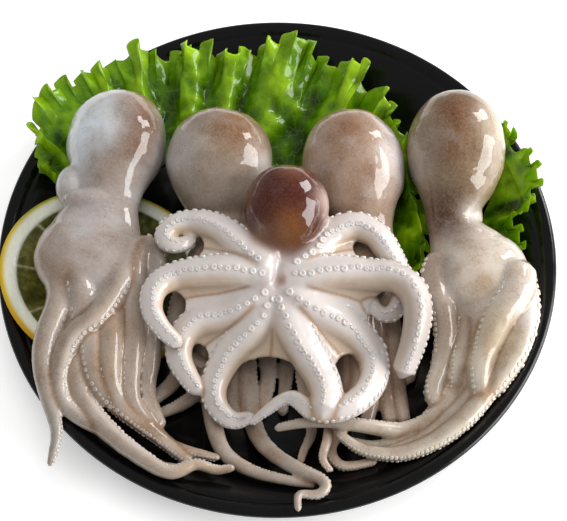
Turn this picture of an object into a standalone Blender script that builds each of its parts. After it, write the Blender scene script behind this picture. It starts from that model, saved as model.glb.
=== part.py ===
"""Five raw baby octopuses on lettuce with a lemon slice, on a round black coupe plate.

Every size below is in millimetres; MM turns it into metres when a mesh is made.
The frame: origin at the middle of the plate's flat underside, +Z up, the heads of the
octopuses towards +Y, the loose arm tips towards -Y.
"""
import math

import bmesh
import bpy
import numpy as np

MM = 0.001

# ---- plate ------------------------------------------------------------------
PLATE_R = 100.0
BASE_R = 58.0
RIM_Z = 19.0
PLATE_SEGMENTS = 48
# upper face from the well out to the lip: radius, height
PLATE_FACE = [(70.0, 4.5), (76.0, 6.2), (82.0, 9.8), (88.0, 13.9), (94.0, 17.2), (97.5, RIM_Z)]
# lip and underside, from the lip down to the flat base
PLATE_BACK = [(99.5, RIM_Z), (PLATE_R, 18.0), (97.5, 15.2), (84.0, 6.6), (BASE_R, 0.0)]

# ---- lemon slice ------------------------------------------------------------
LEMON_X = -62.0
LEMON_Y = -7.5
LEMON_R = 36.5
LEMON_T = 4.0
LEMON_SEGMENTS = 32

# ---- laying the soft pieces on each other ------------------------------------
GAP = 0.9            # kept between an arm and whatever it rests on
REST = 0.5           # kept between a piece and the plate or the lemon
STEP = 1.6           # spacing of the stations along an arm
DRAPE = 0.012        # how tightly a hanging arm may bend downwards, 1/mm
WEB_ACROSS = 9       # points across and along the skin between two arms
WEB_ALONG = 12
VOXEL = 0.8          # grid that fuses trunk and arms into one skin
OCTOPUS_FACES = 1250

# ---- lettuce ----------------------------------------------------------------
LEAF_T = 0.9
LEAF_FLOOR = 0.45    # kept above the plate
LEAF_CEILING = 1.2   # kept below the octopuses


def arm(root, tip, taper, *route):
    """one arm: radius at its root and tip, how it tapers, and its way over the plate

    A route point is x, y and how far the arm is held above what lies below it.
    """
    return {"root": root, "tip": tip, "taper": taper, "route": route}


# A trunk is a mantle (middle x, y, z, half length, half width, half height), a neck
# (x, y, z, half width, half height) and a body with the same six numbers as the mantle.
# A web is the skin between two arms (which two, and how far out it reaches); a lobe is a
# fold of loose flesh beside the neck (middle x, y, z, half sizes along x, y and z).
OCTOPUS_BACK_LEFT = {
    "mantle": (-21.2, 32.7, 25.5, 19.5, 19.6, 16.5),
    "neck": (-20, 12, 18, 11, 9),
    "body": (-18.5, -8, 19.5, 15, 14.5, 10),
    "arms": [
        # two long arms that run out to the near rim
        arm(4.8, 1.3, 0.9, (-24, -14, 6), (-26, -30, 2), (-24, -48, 0),
            (-22, -63, 0), (-18, -75, 0), (-9, -82, 0), (3, -86, 0), (12, -88, 0)),
        arm(4.8, 1.2, 0.9, (-15, -16, 6), (-12, -34, 2), (-10, -52, 0), (-7, -67, 0),
            (-1, -76, 0), (8, -83, 0), (17, -89, 0), (14, -93, 0), (7, -92, 0), (7, -98, 0)),
        # one arm wound into a coil
        arm(5.0, 1.8, 1.0, (-27, -10, 6), (-34, -20, 3), (-36, -32, 2), (-31, -40, 2),
            (-26, -43, 2), (-23, -39, 2), (-26, -36, 2)),
        # two arms that lean out to the left
        arm(4.6, 2.0, 1.0, (-22, -15, 6), (-30, -32, 0), (-35, -45, 0), (-43, -54, 0),
            (-50, -60, 0)),
        arm(4.6, 1.8, 1.0, (-19, -16, 6), (-20, -32, 0), (-25, -48, 0), (-33, -55, 0),
            (-43, -60, 0)),
        # three short arms under the centre octopus
        arm(4.8, 2.0, 1.0, (-12, -14, 6), (-5, -30, 2), (-3, -45, 0), (-5, -56, 0),
            (-9, -62, 0)),
        arm(4.6, 2.0, 1.0, (-10, -8, 6), (2, -20, 2), (4, -34, 0), (3, -48, 0),
            (2, -58, 0)),
        arm(4.6, 2.2, 1.0, (-18, -18, 6), (-15, -36, 3), (-16, -50, 2), (-14, -60, 0)),
    ],
}
OCTOPUS_BACK_RIGHT = {
    "mantle": (27.6, 30.4, 25.0, 21.5, 18.7, 16.7),
    "neck": (31, 10, 18, 11, 9),
    "body": (30, -10, 17, 15, 15, 11),
    "arms": [
        # four arms side by side that end short of the wall
        arm(4.2, 2.4, 1.0, (38, -14, 6), (41, -30, 1), (42, -46, 0), (44, -62, 0)),
        arm(4.6, 2.6, 1.0, (34, -18, 6), (36, -35, 0), (38, -50, 0), (39, -62, 0)),
        arm(4.8, 2.6, 1.0, (30, -20, 6), (31, -38, 1), (33, -52, 0), (31, -62, 0)),
        arm(4.6, 2.2, 1.0, (24, -18, 6), (23, -34, 0), (25, -46, 0), (24, -56, 0)),
        # a thin arm with its tip in the middle of the near side
        arm(4.6, 1.3, 1.0, (18, -14, 6), (12, -28, 1), (9, -42, 0), (10, -55, 0),
            (12, -66, 0), (9, -73, 0), (8, -77, 0)),
        arm(4.4, 2.4, 1.0, (42, -8, 6), (48, -18, 1), (49, -32, 0), (46, -46, 0)),
        # two thin arms that curl round near the wall
        arm(4.2, 1.2, 1.0, (22, -17, 6), (18, -34, 0), (17, -50, 0), (18, -64, 0),
            (17, -73, 0), (15, -80, 0), (18, -84, 0)),
        arm(4.4, 1.3, 1.0, (28, -19, 6), (28, -36, 0), (27, -52, 0), (22, -66, 0),
            (18, -73, 0), (21, -80, 0), (33, -79, 0)),
    ],
}
OCTOPUS_LEFT = {
    "mantle": (-58.7, 39.3, 27.3, 20.3, 18.2, 16.5),
    "neck": (-62, 16.5, 25.5, 12.5, 10),
    "body": (-66.0, -7, 26, 18, 20, 10.5),
    "webs": [(0, 3, 30), (3, 1, 26), (3, 4, 26), (4, 5, 20), (0, 2, 26)],
    "lobes": [(-74, 20, 29, 5.5, 8.5, 5.5), (-67, 13, 32, 9, 4, 4.5)],
    "arms": [
        # hangs over the rim, with its tip in the air
        arm(5.6, 1.1, 0.7, (-74, -14, 6), (-76, -30, 6), (-79, -40, 4), (-80, -48, 2),
            (-77, -60, 0), (-74, -72, 0), (-76, -82, 0)),
        # crosses over the others to the left
        arm(5.6, 2.2, 0.9, (-51, -4, 13), (-55, -20, 14), (-61, -32, 12),
            (-70, -40, 8), (-74, -50, 4), (-73, -60, 1), (-66, -66, 0), (-56, -71, 0)),
        # outermost of the bundle along the wall, its tip in a hook
        arm(6.2, 1.4, 0.9, (-75, -18, 5), (-72, -34, 2), (-69, -47, 1), (-66, -59, 0),
            (-57, -70, 0), (-46, -79, 0), (-35, -85, 0), (-27, -81, 0), (-21, -83, 0),
            (-15, -82, 0)),
        # two arms that stand proud of the body and run down the bundle
        arm(6.2, 1.8, 0.8, (-70, -8, 8), (-68, -20, 10), (-66, -32, 9), (-63, -42, 7),
            (-62, -50, 5), (-57, -58, 3.5), (-48, -65, 2), (-38, -72, 1), (-30, -79, 0)),
        arm(5.8, 1.3, 0.9, (-60, -12, 10), (-58, -26, 11), (-57, -38, 10), (-57, -50, 8),
            (-54, -60, 5), (-44, -68, 2), (-33, -74, 0), (-24, -77, 0), (-20, -78, 0)),
        # folds back over itself beside the body
        arm(5.6, 2.0, 0.8, (-46, -16, 6), (-43, -9, 9), (-46, -3, 12), (-50, -8, 14),
            (-50, -21, 13), (-49, -34, 11), (-50, -49, 8), (-49, -60, 4), (-43, -67, 1),
            (-34, -74, 0)),
        arm(5.8, 2.4, 1.0, (-52, -16, 5), (-45, -26, 2), (-44, -40, 1), (-45, -54, 0),
            (-40, -66, 0)),
        arm(4.8, 1.6, 1.0, (-70, -20, 5), (-73, -42, 0), (-66, -61, 0), (-52, -75, 0),
            (-40, -82, 0), (-31, -83, 0)),
    ],
}
OCTOPUS_RIGHT = {
    "mantle": (64.9, 35.4, 29.0, 22.0, 17.9, 16.2),
    "neck": (63, 9, 21, 9, 8),
    "body": (71.0, -12, 23, 16, 18, 11),
    "webs": [(0, 1, 22), (1, 5, 26), (5, 2, 30), (2, 3, 44)],
    "lobes": [(70, 12, 22, 4, 8, 4)],
    "arms": [
        # curls in on itself
        arm(5.4, 2.4, 0.7, (57, -8, 7), (54, -17, 8), (57, -27, 9), (58, -37, 10),
            (56, -47, 7), (53, -55, 3), (56, -59, 2), (61, -56, 3)),
        arm(5.4, 2.2, 0.8, (62, -9, 10), (62, -20, 13), (66, -30, 13), (64, -38, 12),
            (62, -48, 8), (61, -55, 5)),
        # thick arm on top, to the right
        arm(7.0, 2.8, 0.8, (84, -14, 7), (82, -24, 9), (77, -30, 10), (72, -40, 8),
            (69, -49, 5), (69, -56, 2), (70, -61, 0)),
        # lies against the wall
        arm(6.6, 3.2, 0.8, (84, -12, 4), (86, -23, 3), (86, -31, 2), (82, -43, 1),
            (76, -52, 0), (68, -60, 0)),
        # four arms that sweep along the wall towards the near side
        arm(5.0, 1.6, 0.8, (80, -22, 2), (79, -38, 0), (74, -52, 0), (65, -65, 0),
            (53, -74, 0), (40, -78, 0), (28, -76, 0), (21, -71, 0)),
        arm(5.2, 1.4, 0.9, (71, -8, 13), (72, -18, 14), (70, -30, 12), (67, -42, 6),
            (61, -55, 2), (53, -64, 0), (42, -68, 0), (28, -68, 0), (14, -67, 0), (0, -68, 0)),
        arm(4.6, 1.6, 0.9, (66, -22, 3), (65, -36, 0), (61, -50, 0), (54, -61, 0),
            (46, -69, 0), (34, -73, 0), (24, -71, 0)),
        arm(4.6, 2.0, 1.0, (76, -20, 2), (75, -36, 0), (69, -50, 0), (60, -63, 0),
            (50, -72, 0), (36, -77, 0)),
    ],
}
# lies on the other four with its mouth and suckers upwards
OCTOPUS_CENTRE = {
    "mantle": (3.0, 6.0, 37.5, 15.8, 15.0, 14.0),
    "neck": (1, -8, 34.5, 10, 7),
    "body": (0.6, -20.5, 32.6, 12, 12.5, 4.6),
    "webs": [(0, 1, 35), (1, 2, 42), (2, 3, 42), (3, 7, 34),
             (7, 6, 43), (6, 5, 43), (5, 4, 37), (4, 0, 15)],
    "arms": [
        # four on the left: back one curled, then down to the near side
        arm(7.0, 1.1, 0.75, (-3, -15, 1), (-11, -9, 0), (-20, -1, 0), (-30, 3, 0),
            (-37, 1, 0), (-40, -4, 0), (-36, -7, 0), (-31, -5, 0), (-30, 0, 0), (-34, 2, 0)),
        arm(7.0, 2.6, 0.8, (-3, -18, 0), (-12, -17, 0), (-25, -17, 0), (-36, -18, 0),
            (-42, -23, 0), (-43, -31, 0), (-38, -39, 0), (-34, -42, 0)),
        arm(7.2, 3.0, 0.7, (-3, -22, 4), (-10, -27.5, 3), (-19, -30, 1),
            (-28, -32, 0), (-33, -37, 0), (-34, -44, 0), (-31, -50, 0), (-27, -55, 0)),
        arm(7.2, 2.0, 0.65, (-2, -24, 6), (-8, -35, 5), (-15, -41, 2), (-20, -48, 0),
            (-22, -55, 0), (-20, -61, 0), (-14, -65, 0), (-9, -63, 1)),
        # four on the right: back one hooked under, then down to the near side
        arm(7.0, 2.0, 0.75, (3, -16, 6), (10, -10.5, 4), (18, -2, 1), (27, 2, 0),
            (34, -1, 0), (38, -7, 0), (42, -15, 0), (43, -24, 0), (39, -30, 0), (34, -28, 0),
            (33, -23, 0)),
        arm(7.0, 4.0, 0.8, (3, -19, 4), (12, -18, 2), (23, -17, 0), (34, -18, 0),
            (42, -20, 3), (47, -26, 4), (48, -34, 3), (46, -43, 1), (43, -50, 0)),
        arm(8.0, 1.2, 0.85, (3, -22, 6), (11, -28.5, 5), (20, -32, 3),
            (28, -36.5, 1), (33, -43, 0), (33, -52, 0), (30, -59, 0), (23, -65, 0),
            (15, -67, 0), (9, -64, 0), (6, -60, 0), (1, -61, 0), (-4, -64, 0), (-9, -67, 0)),
        arm(7.8, 5.0, 0.8, (2, -24, 7), (6, -36, 6), (11, -45.5, 3), (15, -53, 0),
            (17, -61, 0), (16, -66, 0)),
    ],
}
# laid one after the other: each rests on the plate, the lemon and those before it
OCTOPUSES = [
    ("octopus_back_left", OCTOPUS_BACK_LEFT),
    ("octopus_back_right", OCTOPUS_BACK_RIGHT),
    ("octopus_left", OCTOPUS_LEFT),
    ("octopus_right", OCTOPUS_RIGHT),
    ("octopus_centre", OCTOPUS_CENTRE),
]

# A leaf is spread between its inner and outer edge (x, y of each), with folds across it;
# lift is how high the outer edge stands, columns and pleats run along the edge.
LETTUCE = [
    ("lettuce_left", {
        "inner": [(-76, 27), (-73, 33), (-64, 36), (-54, 37), (-42, 46)],
        "outer": [(-84, 27), (-88, 39), (-91, 52), (-85, 65), (-74, 72), (-64, 78), (-53, 83),
                  (-43, 84), (-34, 82)],
        "lift": 23.0, "pleats": 5, "seed": 3.0, "columns": 31}),
    ("lettuce_middle", {
        "inner": [(-35, 52), (-22, 44), (-6, 30), (8, 22), (26, 20), (36, 14), (43, 3), (44, -8)],
        "outer": [(-35, 81), (-22, 82), (-10, 84), (2, 89), (13, 87), (25, 79), (37, 69), (43, 57),
                  (47, 44), (51, 29), (55, 13), (54, -6)],
        "lift": 24.0, "pleats": 7, "seed": 11.0, "columns": 43}),
    ("lettuce_right", {
        "inner": [(78, 47), (80, 38), (79, 27), (75, 17), (74, 10), (75, 4), (75, -3)],
        "outer": [(82, 50), (90, 41), (95, 29), (93, 18), (87, 13), (89, 5), (87, -6)],
        "lift": 22.0, "pleats": 3, "seed": 23.0, "columns": 21}),
]


def spline(points, step=STEP):
    """a smooth run through the points, sampled about every step along x and y"""
    p = np.asarray(points, float)
    ends = np.vstack([2 * p[0] - p[1], p, 2 * p[-1] - p[-2]])
    out = []
    for p0, p1, p2, p3 in zip(ends, ends[1:], ends[2:], ends[3:]):
        t1 = math.sqrt(max(np.linalg.norm((p1 - p0)[:2]), 0.3))
        t2 = t1 + math.sqrt(max(np.linalg.norm((p2 - p1)[:2]), 0.3))
        t3 = t2 + math.sqrt(max(np.linalg.norm((p3 - p2)[:2]), 0.3))
        count = max(2, int(round(np.linalg.norm((p2 - p1)[:2]) / step)))
        for k in range(count):
            t = t1 + (t2 - t1) * k / count
            a1 = (t1 - t) / t1 * p0 + t / t1 * p1
            a2 = (t2 - t) / (t2 - t1) * p1 + (t - t1) / (t2 - t1) * p2
            a3 = (t3 - t) / (t3 - t2) * p2 + (t - t2) / (t3 - t2) * p3
            b1 = (t2 - t) / t2 * a1 + t / t2 * a2
            b2 = (t3 - t) / (t3 - t1) * a2 + (t - t1) / (t3 - t1) * a3
            out.append((t2 - t) / (t2 - t1) * b1 + (t - t1) / (t2 - t1) * b2)
    out.append(p[-1])
    return np.array(out)


def plate_top(r):
    """height of the plate's upper face at radius r; outside the rim it falls away"""
    radii = [0.0] + [p[0] for p in PLATE_FACE] + [PLATE_R, PLATE_R + 20.0]
    heights = [PLATE_FACE[0][1]] + [p[1] for p in PLATE_FACE] + [RIM_Z, RIM_Z - 24.0]
    return np.interp(r, radii, heights)


def lemon_top(x, y):
    """the slice is soft: flat in the well and bent up over the wall to the lip"""
    bend = np.clip(np.hypot(x, y) - 50.0, 0.0, 60.0) / 48.0
    return 4.9 + 14.6 * bend ** 1.6 + LEMON_T


def ground(x, y, rho):
    """lowest height for the middle of a ball of radius rho over the plate and the lemon"""
    across = np.linspace(-rho, rho, 9)
    reach = np.sqrt(np.maximum(rho * rho - across * across, 0.0))
    z = float(np.max(plate_top(np.abs(math.hypot(x, y) + across)) + reach)) + REST
    away = math.hypot(x - LEMON_X, y - LEMON_Y)
    if away < LEMON_R:
        z = max(z, float(lemon_top(x, y)) + rho * 1.08 + REST)
    elif away < LEMON_R + rho:
        k = LEMON_R / away
        edge = float(lemon_top(LEMON_X + (x - LEMON_X) * k, LEMON_Y + (y - LEMON_Y) * k))
        z = max(z, edge + math.sqrt(rho * rho - (away - LEMON_R) ** 2) + REST)
    return z


def trunk_rows(octopus):
    """stations x, y, z, half width, half height from the mantle's tip to the body's front"""
    neck = np.array(octopus["neck"][:3], float)
    rows = []
    for part, first, last, count in (("mantle", 4, 125, 16), ("body", 55, 174, 14)):
        middle = np.array(octopus[part][:3], float)
        length, width, height = octopus[part][3:]
        run = middle - neck if part == "mantle" else neck - middle
        run /= np.linalg.norm(run)
        for a in np.radians(np.linspace(first, last, count)):
            s = math.sin(a) ** 0.9
            rows.append([*(middle + run * length * math.cos(a)), width * s, height * s])
        if part == "mantle":
            rows.append(list(octopus["neck"]))
    return spline(rows)


def trunk_solids(octopus):
    """ellipsoids x, y, z, along, across, height, axis x, axis y that stand for the trunk"""
    neck = np.array(octopus["neck"][:2], float)
    out = []
    for part in ("mantle", "body"):
        x, y, z, length, width, height = octopus[part]
        run = np.array([x, y]) - neck
        run /= np.linalg.norm(run)
        out.append([x, y, z, length, width, height, run[0], run[1]])
    # between the two middles every station counts, as a short slice
    for x, y, z, width, height in trunk_rows(octopus):
        to_mantle = np.dot(np.array([x, y]) - octopus["mantle"][:2], out[0][6:])
        to_body = np.dot(np.array([x, y]) - octopus["body"][:2], out[1][6:])
        if to_mantle < 0.0 and to_body < 0.0:
            out.append([x, y, z, min(width, 6.0), width, height, out[0][6], out[0][7]])
    return out


def lay(one, below):
    """stations x, y, z, half width, half height of an arm that rests on the solids below"""
    run = spline(one["route"])
    steps = np.linalg.norm(np.diff(run[:, :2], axis=0), axis=1)
    s = np.concatenate([[0.0], np.cumsum(steps)])
    radius = one["tip"] + (one["root"] - one["tip"]) * (1.0 - s / s[-1]) ** one["taper"]
    need = np.zeros(len(run))
    for i, (x, y, _) in enumerate(run):
        need[i] = ground(x, y, radius[i])
        if len(below):
            dx = x - below[:, 0]
            dy = y - below[:, 1]
            along = dx * below[:, 6] + dy * below[:, 7]
            across = dy * below[:, 6] - dx * below[:, 7]
            more = radius[i] + GAP
            q = (along / (below[:, 3] + more)) ** 2 + (across / (below[:, 4] + more)) ** 2
            hit = q < 1.0
            if hit.any():
                top = below[hit, 2] + (below[hit, 5] + more) * np.sqrt(1.0 - q[hit])
                need[i] = max(need[i], float(np.max(top)))
    z = np.array([np.max(need - DRAPE * (s - si) ** 2) for si in s]) + run[:, 2]
    return np.column_stack([run[:, 0], run[:, 1], z, radius, radius])


def web(one, two, reach):
    """points and faces of the skin between two neighbouring arms, hollow along its free edge"""
    def walk(rows):
        steps = np.linalg.norm(np.diff(rows[:, :3], axis=0), axis=1)
        s = np.concatenate([[0.0], np.cumsum(steps)])
        return lambda d: np.array([np.interp(d, s, rows[:, k]) for k in range(5)])
    first, second = walk(one), walk(two)
    sheets = [[], []]
    for c in np.linspace(0.0, 1.0, WEB_ACROSS):
        hollow = 4.0 * c * (1.0 - c)
        for q in np.linspace(0.0, 1.0, WEB_ALONG):
            d = q * reach * (1.0 - 0.27 * hollow)
            p = first(d) * (1.0 - c) + second(d) * c
            rise = p[4] * (0.64 - 0.5 * q * q) - hollow * q
            sheets[0].append(p[:3] + [0.0, 0.0, rise])
            sheets[1].append(p[:3] + [0.0, 0.0, rise - 2.8 + 1.2 * q])
    return np.array(sheets)


def lay_all():
    """every octopus as its list of tubes, trunk first, laid in order"""
    below = np.zeros((0, 8))
    tubes = {}
    for name, octopus in OCTOPUSES:
        arms = [lay(one, below) for one in octopus["arms"]]
        tubes[name] = [trunk_rows(octopus)] + arms
        solids = list(trunk_solids(octopus))
        for rows in arms:
            solids += [[x, y, z, w, w, h, 1.0, 0.0] for x, y, z, w, h in rows]
        below = np.vstack([below, np.array(solids)])
    return tubes


def material(slot, colour, roughness):
    made = bpy.data.materials.new(slot)
    made.use_nodes = True
    shader = made.node_tree.nodes["Principled BSDF"]
    shader.inputs["Base Color"].default_value = (*colour, 1.0)
    shader.inputs["Roughness"].default_value = roughness
    return made


def add_object(name, bm, made):
    """the finished mesh, in metres, as one named object shaded smooth"""
    bmesh.ops.scale(bm, vec=(MM, MM, MM), verts=bm.verts[:])
    bmesh.ops.recalc_face_normals(bm, faces=bm.faces[:])
    mesh = bpy.data.meshes.new(name)
    bm.to_mesh(mesh)
    bm.free()
    mesh.materials.append(made)
    for face in mesh.polygons:
        face.use_smooth = True
    obj = bpy.data.objects.new(name, mesh)
    bpy.context.scene.collection.objects.link(obj)
    return obj


def ring_of(bm, r, z, count):
    angles = np.linspace(0.0, 2.0 * math.pi, count, endpoint=False)
    return [bm.verts.new((r * math.cos(a), r * math.sin(a), z)) for a in angles]


def bridge(bm, one, two):
    """a band of faces between two closed rings"""
    count = len(one)
    for i in range(count):
        j = (i + 1) % count
        bm.faces.new((one[i], one[j], two[j], two[i]))


def fan(bm, ring, point):
    middle = bm.verts.new(point)
    for i in range(len(ring)):
        bm.faces.new((ring[i], ring[(i + 1) % len(ring)], middle))


def build_plate(made):
    bm = bmesh.new()
    rings = [ring_of(bm, r, z, PLATE_SEGMENTS) for r, z in PLATE_FACE + PLATE_BACK]
    for one, two in zip(rings, rings[1:]):
        bridge(bm, one, two)
    fan(bm, rings[0], (0.0, 0.0, PLATE_FACE[0][1]))
    fan(bm, rings[-1], (0.0, 0.0, 0.0))
    return add_object("plate", bm, made)


def build_lemon(made):
    bm = bmesh.new()
    sides = []
    for drop in (0.0, LEMON_T):
        rings = []
        for share in (0.36, 0.7, 1.0):
            ring = []
            for a in np.linspace(0.0, 2.0 * math.pi, LEMON_SEGMENTS, endpoint=False):
                x = LEMON_X + LEMON_R * share * math.cos(a)
                y = LEMON_Y + LEMON_R * share * math.sin(a)
                ring.append(bm.verts.new((x, y, float(lemon_top(x, y)) - drop)))
            rings.append(ring)
        for one, two in zip(rings, rings[1:]):
            bridge(bm, one, two)
        fan(bm, rings[0], (LEMON_X, LEMON_Y, float(lemon_top(LEMON_X, LEMON_Y)) - drop))
        sides.append(rings[-1])
    bridge(bm, sides[0], sides[1])
    return add_object("lemon_slice", bm, made)


def add_tube(bm, rows, count):
    """a closed tube round the stations, with a pointed cap at each end"""
    middle = rows[:, :3]
    run = np.gradient(middle, axis=0)
    run /= np.linalg.norm(run, axis=1)[:, None]
    side = np.cross(run, np.array([0.0, 0.0, 1.0]))
    side /= np.linalg.norm(side, axis=1)[:, None] + 1e-9
    up = np.cross(side, run)
    rings = []
    for p, sd, u, row in zip(middle, side, up, rows):
        ring = []
        for a in np.linspace(0.0, 2.0 * math.pi, count, endpoint=False):
            ring.append(bm.verts.new(p + sd * math.cos(a) * row[3] + u * math.sin(a) * row[4]))
        rings.append(ring)
    for one, two in zip(rings, rings[1:]):
        bridge(bm, one, two)
    fan(bm, rings[0], middle[0] - run[0] * rows[0, 3] * 0.8)
    fan(bm, rings[-1], middle[-1] + run[-1] * rows[-1, 3] * 0.8)


def add_lobe(bm, x, y, z, along, across, height):
    """a small ellipsoid of loose flesh beside the neck"""
    a = np.radians(np.linspace(6, 174, 10))
    add_tube(bm, np.column_stack([
        np.full(10, float(x)), y - across * np.cos(a), np.full(10, float(z)),
        along * np.sin(a), height * np.sin(a)]), 12)


def add_web(bm, sheets):
    """a web's upper and lower sheet, closed all round"""
    borders = []
    for points in sheets:
        sheet = [bm.verts.new(p) for p in points]
        lines = [sheet[i:i + WEB_ALONG] for i in range(0, len(sheet), WEB_ALONG)]
        for one, two in zip(lines, lines[1:]):
            for j in range(WEB_ALONG - 1):
                bm.faces.new((one[j], two[j], two[j + 1], one[j + 1]))
        border = lines[0] + [line[-1] for line in lines[1:]]
        border += lines[-1][-2::-1] + [line[0] for line in lines[-2:0:-1]]
        borders.append(border)
    bridge(bm, borders[0], borders[1])


def build_octopus(name, octopus, tubes, made):
    """trunk, arms and webs as closed forms, fused into one skin and thinned out"""
    bm = bmesh.new()
    for k, rows in enumerate(tubes):
        add_tube(bm, rows, 24 if k == 0 else 12)
    for shape in octopus.get("lobes", []):
        add_lobe(bm, *shape)
    for first, second, reach in octopus.get("webs", []):
        add_web(bm, web(tubes[1 + first], tubes[1 + second], reach))
    rough = add_object(name + "_rough", bm, made)
    fuse = rough.modifiers.new("fuse", "REMESH")
    fuse.mode = "VOXEL"
    fuse.voxel_size = VOXEL * MM
    bpy.context.view_layer.update()
    fused = bpy.data.meshes.new_from_object(
        rough.evaluated_get(bpy.context.evaluated_depsgraph_get()))
    fine = bpy.data.objects.new(name + "_fine", fused)
    bpy.context.scene.collection.objects.link(fine)
    thin = fine.modifiers.new("thin", "DECIMATE")
    thin.ratio = OCTOPUS_FACES / (2.0 * len(fused.polygons))
    thin.use_collapse_triangulate = True
    bpy.context.view_layer.update()
    thinned = bpy.data.meshes.new_from_object(
        fine.evaluated_get(bpy.context.evaluated_depsgraph_get()))
    bpy.data.objects.remove(rough, do_unlink=True)
    bpy.data.objects.remove(fine, do_unlink=True)
    thinned.name = name
    for face in thinned.polygons:
        face.use_smooth = True
    obj = bpy.data.objects.new(name, thinned)
    bpy.context.scene.collection.objects.link(obj)
    return obj


def leaf_height(x, y, wanted, solids):
    """the wanted height, kept above the plate and below every octopus trunk"""
    r = math.hypot(x, y)
    floor = float(plate_top(min(r, PLATE_R))) + LEAF_FLOOR
    if r > 92.0:
        floor += 0.8
    z = max(wanted, floor)
    for sx, sy, sz, along, across, height, ax, ay in solids:
        dx = x - sx
        dy = y - sy
        q = ((dx * ax + dy * ay) / (along + 2.0)) ** 2 + ((dy * ax - dx * ay) / (across + 2.0)) ** 2
        if q < 1.0:
            z = min(z, sz - height * math.sqrt(1.0 - q) - LEAF_CEILING - LEAF_T)
    return max(z, floor)


def along_edge(points, t):
    """the point at share t of the way along an open edge"""
    run = spline([(x, y, 0.0) for x, y in points], 2.0)
    steps = np.linalg.norm(np.diff(run[:, :2], axis=0), axis=1)
    s = np.concatenate([[0.0], np.cumsum(steps)])
    return np.array([np.interp(t * s[-1], s, run[:, 0]), np.interp(t * s[-1], s, run[:, 1])])


def fold_at(leaf, t):
    """rise and fall across the folds, uneven in width and depth"""
    sway = 1.3 * math.sin(2.0 * math.pi * 2.3 * t + leaf["seed"])
    depth = 0.8 + 0.3 * math.sin(2.0 * math.pi * 1.7 * t + 2.0 * leaf["seed"])
    return depth * math.cos(2.0 * math.pi * leaf["pleats"] * t + sway)


def build_leaf(name, leaf, solids, made):
    """a pleated sheet between the leaf's inner and outer edge, closed at LEAF_T thick"""
    rows = 6
    columns = leaf["columns"]
    bm = bmesh.new()
    sheets = []
    for offset in (0.0, LEAF_T):
        sheet = []
        for i in range(columns):
            t = i / (columns - 1)
            wave = fold_at(leaf, t)
            start = along_edge(leaf["inner"], t)
            end = along_edge(leaf["outer"], t)
            end = end + (end - start) / np.linalg.norm(end - start) * 1.6 * wave
            line = []
            for j in range(rows):
                v = j / (rows - 1)
                x, y = start + (end - start) * v
                level = 5.4 + (leaf["lift"] - 5.4) * v ** 1.3
                z = leaf_height(x, y, level + 3.2 * v * wave, solids)
                line.append(bm.verts.new((x, y, z + offset)))
            sheet.append(line)
        for i in range(columns - 1):
            for j in range(rows - 1):
                bm.faces.new((sheet[i][j], sheet[i + 1][j], sheet[i + 1][j + 1], sheet[i][j + 1]))
        border = [line[0] for line in sheet]
        border += sheet[-1][1:]
        border += [line[-1] for line in sheet[-2::-1]]
        border += sheet[0][-2:0:-1]
        sheets.append(border)
    bridge(bm, sheets[0], sheets[1])
    return add_object(name, bm, made)


def main():
    for obj in list(bpy.data.objects):
        bpy.data.objects.remove(obj, do_unlink=True)
    glaze = material("black_glaze", (0.012, 0.012, 0.014), 0.18)
    flesh = material("octopus_flesh", (0.62, 0.52, 0.46), 0.28)
    leaf_green = material("lettuce_green", (0.25, 0.50, 0.05), 0.40)
    rind = material("lemon_flesh", (0.80, 0.68, 0.25), 0.35)
    build_plate(glaze)
    build_lemon(rind)
    solids = []
    for _, octopus in OCTOPUSES:
        solids += trunk_solids(octopus)
    for name, leaf in LETTUCE:
        build_leaf(name, leaf, solids, leaf_green)
    tubes = lay_all()
    for name, octopus in OCTOPUSES:
        build_octopus(name, octopus, tubes[name], flesh)


main()
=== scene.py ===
"""Looks for the plate of raw baby octopuses: skins with suckers, lettuce, lemon, glazed plate.

Every size below is in millimetres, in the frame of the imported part; MM turns it into
metres when a mesh is made. The octopuses are laid on each other exactly as in the part.
"""

import math

import bpy
import numpy as np
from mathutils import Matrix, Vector, noise


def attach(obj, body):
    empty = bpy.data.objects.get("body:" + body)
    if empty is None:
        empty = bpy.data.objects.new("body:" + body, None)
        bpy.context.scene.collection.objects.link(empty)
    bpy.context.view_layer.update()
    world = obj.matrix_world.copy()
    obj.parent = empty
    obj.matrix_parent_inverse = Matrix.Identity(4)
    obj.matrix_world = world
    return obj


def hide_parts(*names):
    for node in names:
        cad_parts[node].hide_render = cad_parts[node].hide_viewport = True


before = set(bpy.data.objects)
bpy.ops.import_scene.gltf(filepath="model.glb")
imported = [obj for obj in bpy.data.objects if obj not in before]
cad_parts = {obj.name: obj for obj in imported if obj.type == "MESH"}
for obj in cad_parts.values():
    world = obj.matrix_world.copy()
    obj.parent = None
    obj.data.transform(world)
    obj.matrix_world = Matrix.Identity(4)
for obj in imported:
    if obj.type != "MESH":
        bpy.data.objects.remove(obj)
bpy.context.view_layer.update()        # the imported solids, which every piece here follows

MM = 0.001


def rgb(red, green, blue):
    """a colour given as 0..255 screen values, as the linear values that shaders take"""
    out = []
    for value in (red, green, blue):
        c = value / 255.0
        out.append(c / 12.92 if c <= 0.04045 else ((c + 0.055) / 1.055) ** 2.4)
    return np.array(out)


# ---- plate ------------------------------------------------------------------
PLATE_R = 100.0
RIM_Z = 19.0
PLATE_FACE = [(70.0, 4.5), (76.0, 6.2), (82.0, 9.8), (88.0, 13.9), (94.0, 17.2), (97.5, RIM_Z)]
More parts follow.
